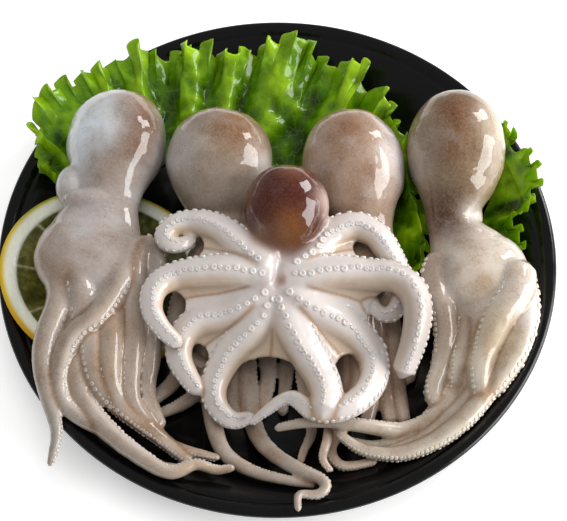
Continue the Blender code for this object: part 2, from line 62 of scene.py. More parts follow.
# the finished plate's whole profile from the middle of the face round to the middle below
PLATE_PROFILE = [
    (0.0, 4.5), (30.0, 4.5), (60.0, 4.5), (68.0, 4.55), (72.0, 5.0), (76.0, 6.25), (80.0, 8.5),
    (84.0, 11.2), (88.0, 13.95), (91.0, 15.75), (93.0, 16.75), (93.9, 17.1), (94.3, 16.8),
    (94.8, 17.2), (95.5, 18.1), (96.4, 18.75), (97.5, 19.0), (98.6, 19.0), (99.4, 18.75),
    (99.9, 18.2), (100.0, 17.7), (99.6, 16.9), (98.0, 15.4), (94.0, 12.4), (88.0, 8.6),
    (80.0, 4.8), (70.0, 1.9), (62.0, 0.4), (59.0, 0.0), (57.0, 0.0), (55.5, 0.6), (50.0, 1.0),
    (20.0, 1.0), (0.0, 1.0)]

# ---- lemon slice ------------------------------------------------------------
LEMON_X = -62.0
LEMON_Y = -7.5
LEMON_R = 36.5
LEMON_T = 4.0
PITH_FROM = 30.6
RIND_FROM = 34.9
SEGMENTS = 10

# ---- laying the soft pieces on each other, as in the part ---------------------
GAP = 0.9
REST = 0.5
STEP = 1.6
DRAPE = 0.012


def arm(root, tip, taper, roll, *route):
    """one arm: radius at root and tip, how it tapers, how it is rolled, its way over the plate

    roll is the turn of the sucker side about the arm, at root and tip, in degrees: 0 faces
    up, 90 to the right of the way, 180 down. A route point is x, y and how far the arm is
    held above what lies below it.
    """
    return {"root": root, "tip": tip, "taper": taper, "roll": roll, "route": route}


# A trunk is a mantle (middle x, y, z, half length, half width, half height), a neck
# (x, y, z, half width, half height) and a body with the same six numbers as the mantle.
# A web is the skin between two arms (which two, and how far out it reaches); a lobe is a
# fold of loose flesh beside the neck (middle x, y, z, half sizes along x, y and z).
OCTOPUS_BACK_LEFT = {
    "mantle": (-21.2, 32.7, 25.5, 19.5, 19.6, 16.5),
    "neck": (-20, 12, 18, 11, 9),
    "body": (-18.5, -8, 19.5, 15, 14.5, 10),
    "arms": [
        # two long arms that run out to the near rim
        arm(4.8, 1.3, 0.9, (-120, -100), (-24, -14, 6), (-26, -30, 2), (-24, -48, 0),
            (-22, -63, 0), (-18, -75, 0), (-9, -82, 0), (3, -86, 0), (12, -88, 0)),
        arm(4.8, 1.2, 0.9, (-120, -95), (-15, -16, 6), (-12, -34, 2), (-10, -52, 0), (-7, -67, 0),
            (-1, -76, 0), (8, -83, 0), (17, -89, 0), (14, -93, 0), (7, -92, 0), (7, -98, 0)),
        # one arm wound into a coil
        arm(5.0, 1.8, 1.0, (100, 70), (-27, -10, 6), (-34, -20, 3), (-36, -32, 2), (-31, -40, 2),
            (-26, -43, 2), (-23, -39, 2), (-26, -36, 2)),
        # two arms that lean out to the left
        arm(4.6, 2.0, 1.0, (110, 90), (-22, -15, 6), (-30, -32, 0), (-35, -45, 0), (-43, -54, 0),
            (-50, -60, 0)),
        arm(4.6, 1.8, 1.0, (110, 90), (-19, -16, 6), (-20, -32, 0), (-25, -48, 0), (-33, -55, 0),
            (-43, -60, 0)),
        # three short arms under the centre octopus
        arm(4.8, 2.0, 1.0, (-110, -90), (-12, -14, 6), (-5, -30, 2), (-3, -45, 0), (-5, -56, 0),
            (-9, -62, 0)),
        arm(4.6, 2.0, 1.0, (-110, -90), (-10, -8, 6), (2, -20, 2), (4, -34, 0), (3, -48, 0),
            (2, -58, 0)),
        arm(4.6, 2.2, 1.0, (110, 90), (-18, -18, 6), (-15, -36, 3), (-16, -50, 2), (-14, -60, 0)),
    ],
}
OCTOPUS_BACK_RIGHT = {
    "mantle": (27.6, 30.4, 25.0, 21.5, 18.7, 16.7),
    "neck": (31, 10, 18, 11, 9),
    "body": (30, -10, 17, 15, 15, 11),
    "arms": [
        # four arms side by side that end short of the wall
        arm(4.2, 2.4, 1.0, (110, 80), (38, -14, 6), (41, -30, 1), (42, -46, 0), (44, -62, 0)),
        arm(4.6, 2.6, 1.0, (110, 80), (34, -18, 6), (36, -35, 0), (38, -50, 0), (39, -62, 0)),
        arm(4.8, 2.6, 1.0, (110, 80), (30, -20, 6), (31, -38, 1), (33, -52, 0), (31, -62, 0)),
        arm(4.6, 2.2, 1.0, (-110, -80), (24, -18, 6), (23, -34, 0), (25, -46, 0), (24, -56, 0)),
        # a thin arm with its tip in the middle of the near side
        arm(4.6, 1.3, 1.0, (110, 90), (18, -14, 6), (12, -28, 1), (9, -42, 0), (10, -55, 0),
            (12, -66, 0), (9, -73, 0), (8, -77, 0)),
        arm(4.4, 2.4, 1.0, (110, 80), (42, -8, 6), (48, -18, 1), (49, -32, 0), (46, -46, 0)),
        # two thin arms that curl round near the wall
        arm(4.2, 1.2, 1.0, (110, 90), (22, -17, 6), (18, -34, 0), (17, -50, 0), (18, -64, 0),
            (17, -73, 0), (15, -80, 0), (18, -84, 0)),
        arm(4.4, 1.3, 1.0, (110, 90), (28, -19, 6), (28, -36, 0), (27, -52, 0), (22, -66, 0),
            (18, -73, 0), (21, -80, 0), (33, -79, 0)),
    ],
}
OCTOPUS_LEFT = {
    "mantle": (-58.7, 39.3, 27.3, 20.3, 18.2, 16.5),
    "neck": (-62, 16.5, 25.5, 12.5, 10),
    "body": (-66.0, -7, 26, 18, 20, 10.5),
    "webs": [(0, 3, 30), (3, 1, 26), (3, 4, 26), (4, 5, 20), (0, 2, 26)],
    "lobes": [(-74, 20, 29, 5.5, 8.5, 5.5), (-67, 13, 32, 9, 4, 4.5)],
    "arms": [
        # hangs over the rim, with its tip in the air
        arm(5.6, 1.1, 0.7, (-110, -90), (-74, -14, 6), (-76, -30, 6), (-79, -40, 4), (-80, -48, 2),
            (-77, -60, 0), (-74, -72, 0), (-76, -82, 0)),
        # crosses over the others to the left
        arm(5.6, 2.2, 0.9, (-100, -80), (-51, -4, 13), (-55, -20, 14), (-61, -32, 12),
            (-70, -40, 8), (-74, -50, 4), (-73, -60, 1), (-66, -66, 0), (-56, -71, 0)),
        # outermost of the bundle along the wall, its tip in a hook
        arm(6.2, 1.4, 0.9, (-100, -80), (-75, -18, 5), (-72, -34, 2), (-69, -47, 1), (-66, -59, 0),
            (-57, -70, 0), (-46, -79, 0), (-35, -85, 0), (-27, -81, 0), (-21, -83, 0),
            (-15, -82, 0)),
        # two arms that stand proud of the body and run down the bundle
        arm(6.2, 1.8, 0.8, (100, 80), (-70, -8, 8), (-68, -20, 10), (-66, -32, 9), (-63, -42, 7),
            (-62, -50, 5), (-57, -58, 3.5), (-48, -65, 2), (-38, -72, 1), (-30, -79, 0)),
        arm(5.8, 1.3, 0.9, (100, 80), (-60, -12, 10), (-58, -26, 11), (-57, -38, 10), (-57, -50, 8),
            (-54, -60, 5), (-44, -68, 2), (-33, -74, 0), (-24, -77, 0), (-20, -78, 0)),
        # folds back over itself beside the body
        arm(5.6, 2.0, 0.8, (100, 80), (-46, -16, 6), (-43, -9, 9), (-46, -3, 12), (-50, -8, 14),
            (-50, -21, 13), (-49, -34, 11), (-50, -49, 8), (-49, -60, 4), (-43, -67, 1),
            (-34, -74, 0)),
        arm(5.8, 2.4, 1.0, (100, 80), (-52, -16, 5), (-45, -26, 2), (-44, -40, 1), (-45, -54, 0),
            (-40, -66, 0)),
        arm(4.8, 1.6, 1.0, (100, 80), (-70, -20, 5), (-73, -42, 0), (-66, -61, 0), (-52, -75, 0),
            (-40, -82, 0), (-31, -83, 0)),
    ],
}
OCTOPUS_RIGHT = {
    "mantle": (64.9, 35.4, 29.0, 22.0, 17.9, 16.2),
    "neck": (63, 9, 21, 9, 8),
    "body": (71.0, -12, 23, 16, 18, 11),
    "webs": [(0, 1, 22), (1, 5, 26), (5, 2, 30), (2, 3, 44)],
    "lobes": [(70, 12, 22, 4, 8, 4)],
    "arms": [
        # curls in on itself
        arm(5.4, 2.4, 0.7, (100, 80), (57, -8, 7), (54, -17, 8), (57, -27, 9), (58, -37, 10),
            (56, -47, 7), (53, -55, 3), (56, -59, 2), (61, -56, 3)),
        arm(5.4, 2.2, 0.8, (100, 80), (62, -9, 10), (62, -20, 13), (66, -30, 13), (64, -38, 12),
            (62, -48, 8), (61, -55, 5)),
        # thick arm on top, to the right
        arm(7.0, 2.8, 0.8, (100, 80), (84, -14, 7), (82, -24, 9), (77, -30, 10), (72, -40, 8),
            (69, -49, 5), (69, -56, 2), (70, -61, 0)),
        # lies against the wall
        arm(6.6, 3.2, 0.8, (-100, -80), (84, -12, 4), (86, -23, 3), (86, -31, 2), (82, -43, 1),
            (76, -52, 0), (68, -60, 0)),
        # four arms that sweep along the wall towards the near side
        arm(5.0, 1.6, 0.8, (-100, -90), (80, -22, 2), (79, -38, 0), (74, -52, 0), (65, -65, 0),
            (53, -74, 0), (40, -78, 0), (28, -76, 0), (21, -71, 0)),
        arm(5.2, 1.4, 0.9, (100, 90), (71, -8, 13), (72, -18, 14), (70, -30, 12), (67, -42, 6),
            (61, -55, 2), (53, -64, 0), (42, -68, 0), (28, -68, 0), (14, -67, 0), (0, -68, 0)),
        arm(4.6, 1.6, 0.9, (100, 90), (66, -22, 3), (65, -36, 0), (61, -50, 0), (54, -61, 0),
            (46, -69, 0), (34, -73, 0), (24, -71, 0)),
        arm(4.6, 2.0, 1.0, (-100, -90), (76, -20, 2), (75, -36, 0), (69, -50, 0), (60, -63, 0),
            (50, -72, 0), (36, -77, 0)),
    ],
}
# lies on the other four with its mouth and suckers upwards
OCTOPUS_CENTRE = {
    "mantle": (3.0, 6.0, 37.5, 15.8, 15.0, 14.0),
    "neck": (1, -8, 34.5, 10, 7),
    "body": (0.6, -20.5, 32.6, 12, 12.5, 4.6),
    "webs": [(0, 1, 35), (1, 2, 42), (2, 3, 42), (3, 7, 34),
             (7, 6, 43), (6, 5, 43), (5, 4, 37), (4, 0, 15)],
    "arms": [
        # four on the left: back one curled, then down to the near side
        arm(7.0, 1.1, 0.75, (20, 38), (-3, -15, 1), (-11, -9, 0), (-20, -1, 0), (-30, 3, 0),
            (-37, 1, 0), (-40, -4, 0), (-36, -7, 0), (-31, -5, 0), (-30, 0, 0), (-34, 2, 0)),
        arm(7.0, 2.6, 0.8, (20, 38), (-3, -18, 0), (-12, -17, 0), (-25, -17, 0), (-36, -18, 0),
            (-42, -23, 0), (-43, -31, 0), (-38, -39, 0), (-34, -42, 0)),
        arm(7.2, 3.0, 0.7, (20, 38), (-3, -22, 4), (-10, -27.5, 3), (-19, -30, 1),
            (-28, -32, 0), (-33, -37, 0), (-34, -44, 0), (-31, -50, 0), (-27, -55, 0)),
        arm(7.2, 2.0, 0.65, (20, 40), (-2, -24, 6), (-8, -35, 5), (-15, -41, 2), (-20, -48, 0),
            (-22, -55, 0), (-20, -61, 0), (-14, -65, 0), (-9, -63, 1)),
        # four on the right: back one hooked under, then down to the near side
        arm(7.0, 2.0, 0.75, (-20, -38), (3, -16, 6), (10, -10.5, 4), (18, -2, 1), (27, 2, 0),
            (34, -1, 0), (38, -7, 0), (42, -15, 0), (43, -24, 0), (39, -30, 0), (34, -28, 0),
            (33, -23, 0)),
        arm(7.0, 4.0, 0.8, (-20, -60), (3, -19, 4), (12, -18, 2), (23, -17, 0), (34, -18, 0),
            (42, -20, 3), (47, -26, 4), (48, -34, 3), (46, -43, 1), (43, -50, 0)),
        arm(8.0, 1.2, 0.85, (-20, -42), (3, -22, 6), (11, -28.5, 5), (20, -32, 3),
            (28, -36.5, 1), (33, -43, 0), (33, -52, 0), (30, -59, 0), (23, -65, 0),
            (15, -67, 0), (9, -64, 0), (6, -60, 0), (1, -61, 0), (-4, -64, 0), (-9, -67, 0)),
        arm(7.8, 5.0, 0.8, (-15, -30), (2, -24, 7), (6, -36, 6), (11, -45.5, 3), (15, -53, 0),
            (17, -61, 0), (16, -66, 0)),
    ],
}
# laid one after the other: each rests on the plate, the lemon and those before it
OCTOPUSES = [
    ("octopus_back_left", OCTOPUS_BACK_LEFT),
    ("octopus_back_right", OCTOPUS_BACK_RIGHT),
    ("octopus_left", OCTOPUS_LEFT),
    ("octopus_right", OCTOPUS_RIGHT),
    ("octopus_centre", OCTOPUS_CENTRE),
]

# Colours of each octopus: mantle, body, backs of the arms, sucker side, and how strong the
# dark specks are; then spots of another colour, among them painted highlights and painted
# lighter rims: x, y, z, radius, colour, strength.
SKINS = {
    "octopus_back_left": {
        "mantle": rgb(142, 122, 102), "body": rgb(158, 142, 126), "back": rgb(166, 150, 136),
        "sucker": rgb(196, 182, 170), "specks": 0.75,
        "patches_and_painted_light": [
            (-13, 38, 41, 12, rgb(126, 86, 48), 0.85), (-37, 32, 30, 12, rgb(186, 184, 182), 0.9),
            (-20, 18, 30, 10, rgb(184, 172, 162), 0.6), (-4, 28, 30, 8, rgb(202, 196, 192), 0.7),
            (-26, 50, 32, 8, rgb(170, 156, 140), 0.6)]},
    "octopus_back_right": {
        "mantle": rgb(172, 148, 130), "body": rgb(160, 140, 124), "back": rgb(168, 148, 132),
        "sucker": rgb(206, 184, 166), "specks": 0.8,
        "patches_and_painted_light": [
            # painted highlight: the first spot here, near white, lies on the right flank of the mantle
            # where the window's highlight falls
            (45, 30, 30, 12, rgb(224, 216, 214), 0.95), (25, 37, 42, 9, rgb(136, 96, 62), 0.8),
            (30, 20, 40, 8, rgb(136, 104, 80), 0.6), (14, 38, 30, 8, rgb(184, 168, 158), 0.5),
            (22, 46, 34, 7, rgb(150, 112, 84), 0.5)]},
    "octopus_left": {
        "mantle": rgb(184, 183, 184), "body": rgb(172, 163, 158), "back": rgb(160, 146, 134),
        "sucker": rgb(198, 186, 176), "specks": 0.7,
        "patches_and_painted_light": [
            (-49, 41, 40, 10, rgb(104, 66, 32), 1.0), (-49, 52, 36, 8, rgb(132, 96, 62), 0.85),
            (-51, 30, 40, 8, rgb(116, 84, 56), 0.95), (-70, 40, 36, 13, rgb(214, 224, 232), 0.95),
            (-84, -6, 26, 10, rgb(142, 116, 90), 0.8), (-59, 21, 37, 10, rgb(142, 120, 104), 0.8),
            (-74, -18, 34, 6, rgb(140, 108, 76), 0.8), (-55, -36, 28, 7, rgb(150, 122, 90), 0.6),
            (-52, -6, 34, 7, rgb(132, 116, 104), 0.7), (-60, -52, 24, 8, rgb(160, 132, 100), 0.5),
            (-66, 4, 34, 8, rgb(184, 178, 178), 0.6), (-76, -74, 18, 14, rgb(158, 156, 150), 0.8),
            (-28, -80, 18, 12, rgb(176, 152, 124), 0.6)]},
    "octopus_right": {
        "mantle": rgb(146, 128, 102), "body": rgb(204, 194, 182), "back": rgb(178, 166, 152),
        "sucker": rgb(208, 196, 180), "specks": 0.75,
        "patches_and_painted_light": [
            (64, 41, 45, 12, rgb(108, 66, 28), 1.0), (61, 27, 45, 9, rgb(112, 76, 42), 0.85),
            (52, 34, 40, 7, rgb(150, 142, 130), 0.6),
            (78, 40, 36, 9, rgb(204, 194, 178), 0.8), (60, 8, 30, 11, rgb(84, 54, 32), 1.0),
            (52, 26, 30, 7, rgb(170, 162, 156), 0.6), (70, 10, 26, 5, rgb(206, 198, 190), 0.8),
            (55, -14, 22, 10, rgb(126, 108, 96), 0.9), (57, -32, 20, 10, rgb(134, 120, 110), 0.9),
            (64, -34, 24, 7, rgb(140, 122, 108), 0.8), (76, -16, 34, 8, rgb(214, 204, 190), 0.6),
            (72, -20, 32, 4, rgb(164, 128, 84), 0.6), (90, -30, 22, 11, rgb(228, 228, 232), 0.9),
            (76, -38, 28, 10, rgb(196, 178, 150), 0.8)]},
    "octopus_centre": {
        "mantle": rgb(72, 20, 2), "body": rgb(198, 188, 184), "back": rgb(198, 178, 156),
        "sucker": rgb(212, 204, 200), "specks": 0.15,
        "patches_and_painted_light": [
            # painted light: the paler spot at x -11 is a painted lighter rim on the left of the dark
            # mantle, and the near-white one at x 18 is a painted highlight on its right rim
            (-11, 9, 42, 6, rgb(120, 84, 66), 0.5), (18, 6, 41, 5.5, rgb(186, 164, 156), 0.95),
            (5, 15, 47, 5, rgb(132, 84, 56), 0.6), (4, -6, 44, 6.5, rgb(118, 70, 26), 1.0),
            (-6, -7, 42, 4, rgb(140, 106, 78), 0.6), (1.3, -21.9, 38, 1.8, rgb(168, 122, 104), 0.8),
            (46, -36, 30, 13, rgb(170, 158, 148), 0.8)]},
}

# A leaf is spread between its inner and outer edge (x, y of each), with folds across it;
# lift is how high the outer edge stands, frills are the small waves along its edge.
LETTUCE = [
    ("lettuce_left", {
        "inner": [(-76, 27), (-73, 33), (-64, 36), (-54, 37), (-39, 46)],
        "outer": [(-84, 27), (-88, 39), (-91, 52), (-85, 65), (-74, 72), (-64, 78), (-53, 83),
                  (-43, 84), (-33, 83)],
        "lift": 23.0, "pleats": 5, "seed": 3.0, "frills": 13, "columns": 250}),
    ("lettuce_middle", {
        "inner": [(-38, 49), (-22, 44), (-6, 30), (8, 22), (26, 20), (36, 14), (43, 3), (44, -8)],
        "outer": [(-37, 82), (-22, 82), (-10, 84), (2, 89), (13, 87), (25, 79), (37, 69), (43, 57),
                  (47, 44), (51, 29), (55, 13), (54, -6)],
        "lift": 24.0, "pleats": 7, "seed": 11.0, "frills": 19, "columns": 330}),
    ("lettuce_right", {
        "inner": [(78, 47), (80, 38), (79, 27), (75, 17), (74, 10), (75, 4), (75, -3)],
        "outer": [(82, 50), (90, 41), (95, 29), (93, 18), (87, 13), (89, 5), (87, -6)],
        "lift": 22.0, "pleats": 3, "seed": 23.0, "frills": 9, "columns": 180}),
]
LEAF_ROWS = 56
LEAF_T = 0.35
LEAF_FLOOR = 0.45
LEAF_CEILING = 1.2


# ---- laying: the same walk as in the part --------------------------------------
def spline(points, step=STEP):
    """a smooth run through the points, sampled about every step along x and y"""
    p = np.asarray(points, float)
    ends = np.vstack([2 * p[0] - p[1], p, 2 * p[-1] - p[-2]])
    out = []
    for p0, p1, p2, p3 in zip(ends, ends[1:], ends[2:], ends[3:]):
        t1 = math.sqrt(max(np.linalg.norm((p1 - p0)[:2]), 0.3))
        t2 = t1 + math.sqrt(max(np.linalg.norm((p2 - p1)[:2]), 0.3))
        t3 = t2 + math.sqrt(max(np.linalg.norm((p3 - p2)[:2]), 0.3))
        count = max(2, int(round(np.linalg.norm((p2 - p1)[:2]) / step)))
        for k in range(count):
            t = t1 + (t2 - t1) * k / count
            a1 = (t1 - t) / t1 * p0 + t / t1 * p1
            a2 = (t2 - t) / (t2 - t1) * p1 + (t - t1) / (t2 - t1) * p2
            a3 = (t3 - t) / (t3 - t2) * p2 + (t - t2) / (t3 - t2) * p3
            b1 = (t2 - t) / t2 * a1 + t / t2 * a2
            b2 = (t3 - t) / (t3 - t1) * a2 + (t - t1) / (t3 - t1) * a3
            out.append((t2 - t) / (t2 - t1) * b1 + (t - t1) / (t2 - t1) * b2)
    out.append(p[-1])
    return np.array(out)


def plate_top(r):
    """height of the plate's upper face at radius r; outside the rim it falls away"""
    radii = [0.0] + [p[0] for p in PLATE_FACE] + [PLATE_R, PLATE_R + 20.0]
    heights = [PLATE_FACE[0][1]] + [p[1] for p in PLATE_FACE] + [RIM_Z, RIM_Z - 24.0]
    return np.interp(r, radii, heights)


def lemon_top(x, y):
    """the slice is soft: flat in the well and bent up over the wall to the lip"""
    bend = np.clip(np.hypot(x, y) - 50.0, 0.0, 60.0) / 48.0
    return 4.9 + 14.6 * bend ** 1.6 + LEMON_T


def ground(x, y, rho):
    """lowest height for the middle of a ball of radius rho over the plate and the lemon"""
    across = np.linspace(-rho, rho, 9)
    reach = np.sqrt(np.maximum(rho * rho - across * across, 0.0))
    z = float(np.max(plate_top(np.abs(math.hypot(x, y) + across)) + reach)) + REST
    away = math.hypot(x - LEMON_X, y - LEMON_Y)
    if away < LEMON_R:
        z = max(z, float(lemon_top(x, y)) + rho * 1.08 + REST)
    elif away < LEMON_R + rho:
        k = LEMON_R / away
        edge = float(lemon_top(LEMON_X + (x - LEMON_X) * k, LEMON_Y + (y - LEMON_Y) * k))
        z = max(z, edge + math.sqrt(rho * rho - (away - LEMON_R) ** 2) + REST)
    return z


def trunk_rows(octopus):
    """stations x, y, z, half width, half height from the mantle's tip to the body's front"""
    neck = np.array(octopus["neck"][:3], float)
    rows = []
    for part, first, last, count in (("mantle", 4, 125, 16), ("body", 55, 174, 14)):
        middle = np.array(octopus[part][:3], float)
        length, width, height = octopus[part][3:]
        run = middle - neck if part == "mantle" else neck - middle
        run /= np.linalg.norm(run)
        for a in np.radians(np.linspace(first, last, count)):
            s = math.sin(a) ** 0.9
            rows.append([*(middle + run * length * math.cos(a)), width * s, height * s])
        if part == "mantle":
            rows.append(list(octopus["neck"]))
    return spline(rows)


def trunk_solids(octopus):
    """ellipsoids x, y, z, along, across, height, axis x, axis y that stand for the trunk"""
    neck = np.array(octopus["neck"][:2], float)
    out = []
    for part in ("mantle", "body"):
        x, y, z, length, width, height = octopus[part]
        run = np.array([x, y]) - neck
        run /= np.linalg.norm(run)
        out.append([x, y, z, length, width, height, run[0], run[1]])
    # between the two middles every station counts, as a short slice
    for x, y, z, width, height in trunk_rows(octopus):
        to_mantle = np.dot(np.array([x, y]) - octopus["mantle"][:2], out[0][6:])
        to_body = np.dot(np.array([x, y]) - octopus["body"][:2], out[1][6:])
        if to_mantle < 0.0 and to_body < 0.0:
            out.append([x, y, z, min(width, 6.0), width, height, out[0][6], out[0][7]])
    return out


def lay(one, below):
    """stations x, y, z, half width, half height of an arm that rests on the solids below"""
    run = spline(one["route"])
    steps = np.linalg.norm(np.diff(run[:, :2], axis=0), axis=1)
    s = np.concatenate([[0.0], np.cumsum(steps)])
    radius = one["tip"] + (one["root"] - one["tip"]) * (1.0 - s / s[-1]) ** one["taper"]
    need = np.zeros(len(run))
    for i, (x, y, _) in enumerate(run):
        need[i] = ground(x, y, radius[i])
        if len(below):
            dx = x - below[:, 0]
            dy = y - below[:, 1]
            along = dx * below[:, 6] + dy * below[:, 7]
            across = dy * below[:, 6] - dx * below[:, 7]
            more = radius[i] + GAP
            q = (along / (below[:, 3] + more)) ** 2 + (across / (below[:, 4] + more)) ** 2
            hit = q < 1.0
            if hit.any():
                top = below[hit, 2] + (below[hit, 5] + more) * np.sqrt(1.0 - q[hit])
                need[i] = max(need[i], float(np.max(top)))
    z = np.array([np.max(need - DRAPE * (s - si) ** 2) for si in s]) + run[:, 2]
    return np.column_stack([run[:, 0], run[:, 1], z, radius, radius])


def lay_all():
    """every octopus as its list of tubes, trunk first, laid in order"""
    below = np.zeros((0, 8))
    tubes = {}
    for name, octopus in OCTOPUSES:
        arms = [lay(one, below) for one in octopus["arms"]]
        tubes[name] = [trunk_rows(octopus)] + arms
        solids = list(trunk_solids(octopus))
        for rows in arms:
            solids += [[x, y, z, w, w, h, 1.0, 0.0] for x, y, z, w, h in rows]
        below = np.vstack([below, np.array(solids)])
    return tubes


# ---- mesh helpers -------------------------------------------------------------
def unit(v):
    """rows scaled to length one"""
    return v / np.maximum(np.linalg.norm(v, axis=-1, keepdims=True), 1e-9)


def smoothstep(low, high, x):
    t = np.clip((np.asarray(x, float) - low) / (high - low), 0.0, 1.0)
    return t * t * (3.0 - 2.0 * t)


def grid_faces(rows, columns, wrap):
    """quads of a grid of points, row by row; wrap closes each row into a ring"""
    i, j = np.meshgrid(np.arange(rows - 1), np.arange(columns if wrap else columns - 1),
                       indexing="ij")
    i = i.ravel()
    j = j.ravel()
    k = (j + 1) % columns
    return np.column_stack([i * columns + j, i * columns + k,
                            (i + 1) * columns + k, (i + 1) * columns + j])


def make_mesh(name, co, faces):
    """a mesh in metres from points in millimetres; faces are lists of the same length each"""
    mesh = bpy.data.meshes.new(name)
    mesh.from_pydata((np.asarray(co) * MM).tolist(), [], [list(map(int, f)) for f in faces])
    mesh.update()
    mesh.shade_smooth()
    return mesh


def points_of(mesh):
    co = np.zeros(len(mesh.vertices) * 3)
    mesh.vertices.foreach_get("co", co)
    return co.reshape(-1, 3) / MM


def set_points(mesh, co):
    mesh.vertices.foreach_set("co", (np.asarray(co) * MM).ravel())
    mesh.update()


def paint(mesh, colours, alpha):
    """a colour and a mask for every point, read by the materials as 'tint'"""
    values = np.column_stack([np.clip(colours, 0.0, 1.0), np.clip(alpha, 0.0, 1.0)])
    layer = mesh.color_attributes.new("tint", "FLOAT_COLOR", "POINT")
    layer.data.foreach_set("color", values.astype(np.float32).ravel())


def place(name, mesh, material, node=None):
    """the finished piece: it rides on the one body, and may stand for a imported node"""
    mesh.materials.clear()
    mesh.materials.append(material)
    obj = bpy.data.objects.new(name, mesh)
    bpy.context.scene.collection.objects.link(obj)
    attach(obj, "root")
    if node:
        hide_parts(node)
    return obj


def evaluated(mesh, name, **settings):
    """the mesh after one remesh modifier"""
    rough = bpy.data.objects.new(name, mesh)
    bpy.context.scene.collection.objects.link(rough)
    modifier = rough.modifiers.new("fuse", "REMESH")
    for key, value in settings.items():
        setattr(modifier, key, value)
    bpy.context.view_layer.update()
    out = bpy.data.meshes.new_from_object(
        rough.evaluated_get(bpy.context.evaluated_depsgraph_get()))
    bpy.data.objects.remove(rough, do_unlink=True)
    bpy.data.meshes.remove(mesh)
    out.name = name
    return out


def relax(co, edges, weight, rounds, back=0.0):
    """moves points towards the middle of their neighbours; back undoes the shrinking"""
    a, b = edges[:, 0], edges[:, 1]
    count = len(co)
    degree = np.maximum(np.bincount(a, minlength=count) + np.bincount(b, minlength=count), 1)
    for k in range(rounds):
        share = weight if k % 2 == 0 or back == 0.0 else -weight * back
        for axis in range(3):
            x = co[:, axis]
            total = np.bincount(a, x[b], count) + np.bincount(b, x[a], count)
            co[:, axis] = x + share * (total / degree - x)
    return co


def edges_of(mesh):
    edges = np.zeros(len(mesh.edges) * 2, np.int32)
    mesh.edges.foreach_get("vertices", edges)
    return edges.reshape(-1, 2)


def normals_of(mesh):
    out = np.zeros(len(mesh.vertices) * 3)
    mesh.vertices.foreach_get("normal", out)
    return out.reshape(-1, 3)


def noise_at(co, size, seed):
    """smooth noise from -1 to 1 at each point, with features about size millimetres wide"""
    p = np.asarray(co) / size + seed
    return np.array([noise.noise(Vector(q)) for q in p])


# ---- octopus skins ------------------------------------------------------------
def frames(rows, roll):
    """direction, sucker direction and side at each station of a tube"""
    run = unit(np.gradient(rows[:, :3], axis=0))
    side = unit(np.cross(run, [0.0, 0.0, 1.0]))
    up = np.cross(side, run)
    turn = np.radians(np.linspace(roll[0], roll[1], len(rows)))[:, None]
    oral = np.cos(turn) * up + np.sin(turn) * side
    across = np.cross(run, oral)
    return run, oral, across


def soften(rows, rounds=3):
    """the run of stations without the kinks that laying leaves; its ends stay"""
    rows = rows.copy()
    for _ in range(rounds):
        rows[1:-1, :3] += 0.25 * (rows[2:, :3] + rows[:-2, :3] - 2.0 * rows[1:-1, :3])
    return rows


def tube(rows, roll, count, flat):
    """points and faces of a closed tube round the stations, flatter on its sucker side"""
    run, oral, across = frames(rows, roll)
    a = np.linspace(0.0, 2.0 * math.pi, count, endpoint=False)
    away = np.minimum(a, 2.0 * math.pi - a)
    shape = 1.0 - flat * np.exp(-(away / 0.55) ** 2)
    u = (shape * np.cos(a))[None, :, None]
    v = (shape * np.sin(a))[None, :, None]
    co = rows[:, None, :3] + oral[:, None] * u * rows[:, None, 4:5]
    co = co + across[:, None] * v * rows[:, None, 3:4]
    n = len(rows)
    faces = [tuple(f) for f in grid_faces(n, count, True)]
    points = np.vstack([co.reshape(-1, 3), rows[0, :3] - run[0] * rows[0, 3] * 0.8,
                        rows[-1, :3] + run[-1] * rows[-1, 3] * 0.9])
    last = (n - 1) * count
    for j in range(count):
        k = (j + 1) % count
        faces.append((j, n * count, k))
        faces.append((last + j, last + k, n * count + 1))
    return points, faces


def lobe(x, y, z, along, across, height):
    """a small ellipsoid of loose flesh"""
    a = np.radians(np.linspace(6, 174, 12))
    rows = np.column_stack([np.full(12, float(x)), y - across * np.cos(a), np.full(12, float(z)),
                            along * np.sin(a), height * np.sin(a)])
    return tube(rows, (0, 0), 16, 0.0)


def web(one, two, reach):
    """the skin between two neighbouring arms, hollowed out along its free edge"""
    def walk(rows):
        steps = np.linalg.norm(np.diff(rows[:, :3], axis=0), axis=1)
        s = np.concatenate([[0.0], np.cumsum(steps)])
        return lambda d: np.array([np.interp(d, s, rows[:, k]) for k in range(5)])
    first, second = walk(one), walk(two)
    n, m = 9, 12
    top = np.zeros((n, m, 3))
    low = np.zeros((n, m, 3))
    for i, c in enumerate(np.linspace(0.0, 1.0, n)):
        hollow = 4.0 * c * (1.0 - c)
        for j, q in enumerate(np.linspace(0.0, 1.0, m)):
            d = q * reach * (1.0 - 0.27 * hollow)
            p = first(d) * (1.0 - c) + second(d) * c
            rise = p[4] * (0.64 - 0.5 * q * q) - hollow * q
            top[i, j] = p[:3] + [0.0, 0.0, rise]
            low[i, j] = top[i, j] - [0.0, 0.0, 2.8 - 1.2 * q]
    faces = [tuple(f) for f in grid_faces(n, m, False)]
    faces += [tuple(q + n * m for q in reversed(f)) for f in faces]
    rim = list(range(m)) + [i * m + m - 1 for i in range(1, n)]
    rim += [(n - 1) * m + j for j in range(m - 2, -1, -1)] + [i * m for i in range(n - 2, 0, -1)]
    for p, q in zip(rim, rim[1:] + rim[:1]):
        faces.append((p, p + n * m, q + n * m, q))
    return np.vstack([top.reshape(-1, 3), low.reshape(-1, 3)]), faces


def joined(parts):
    """several point and face lists as one"""
    points, faces, start = [], [], 0
    for co, fs in parts:
        points.append(co)
        faces += [tuple(i + start for i in f) for f in fs]
        start += len(co)
    return np.vstack(points), faces


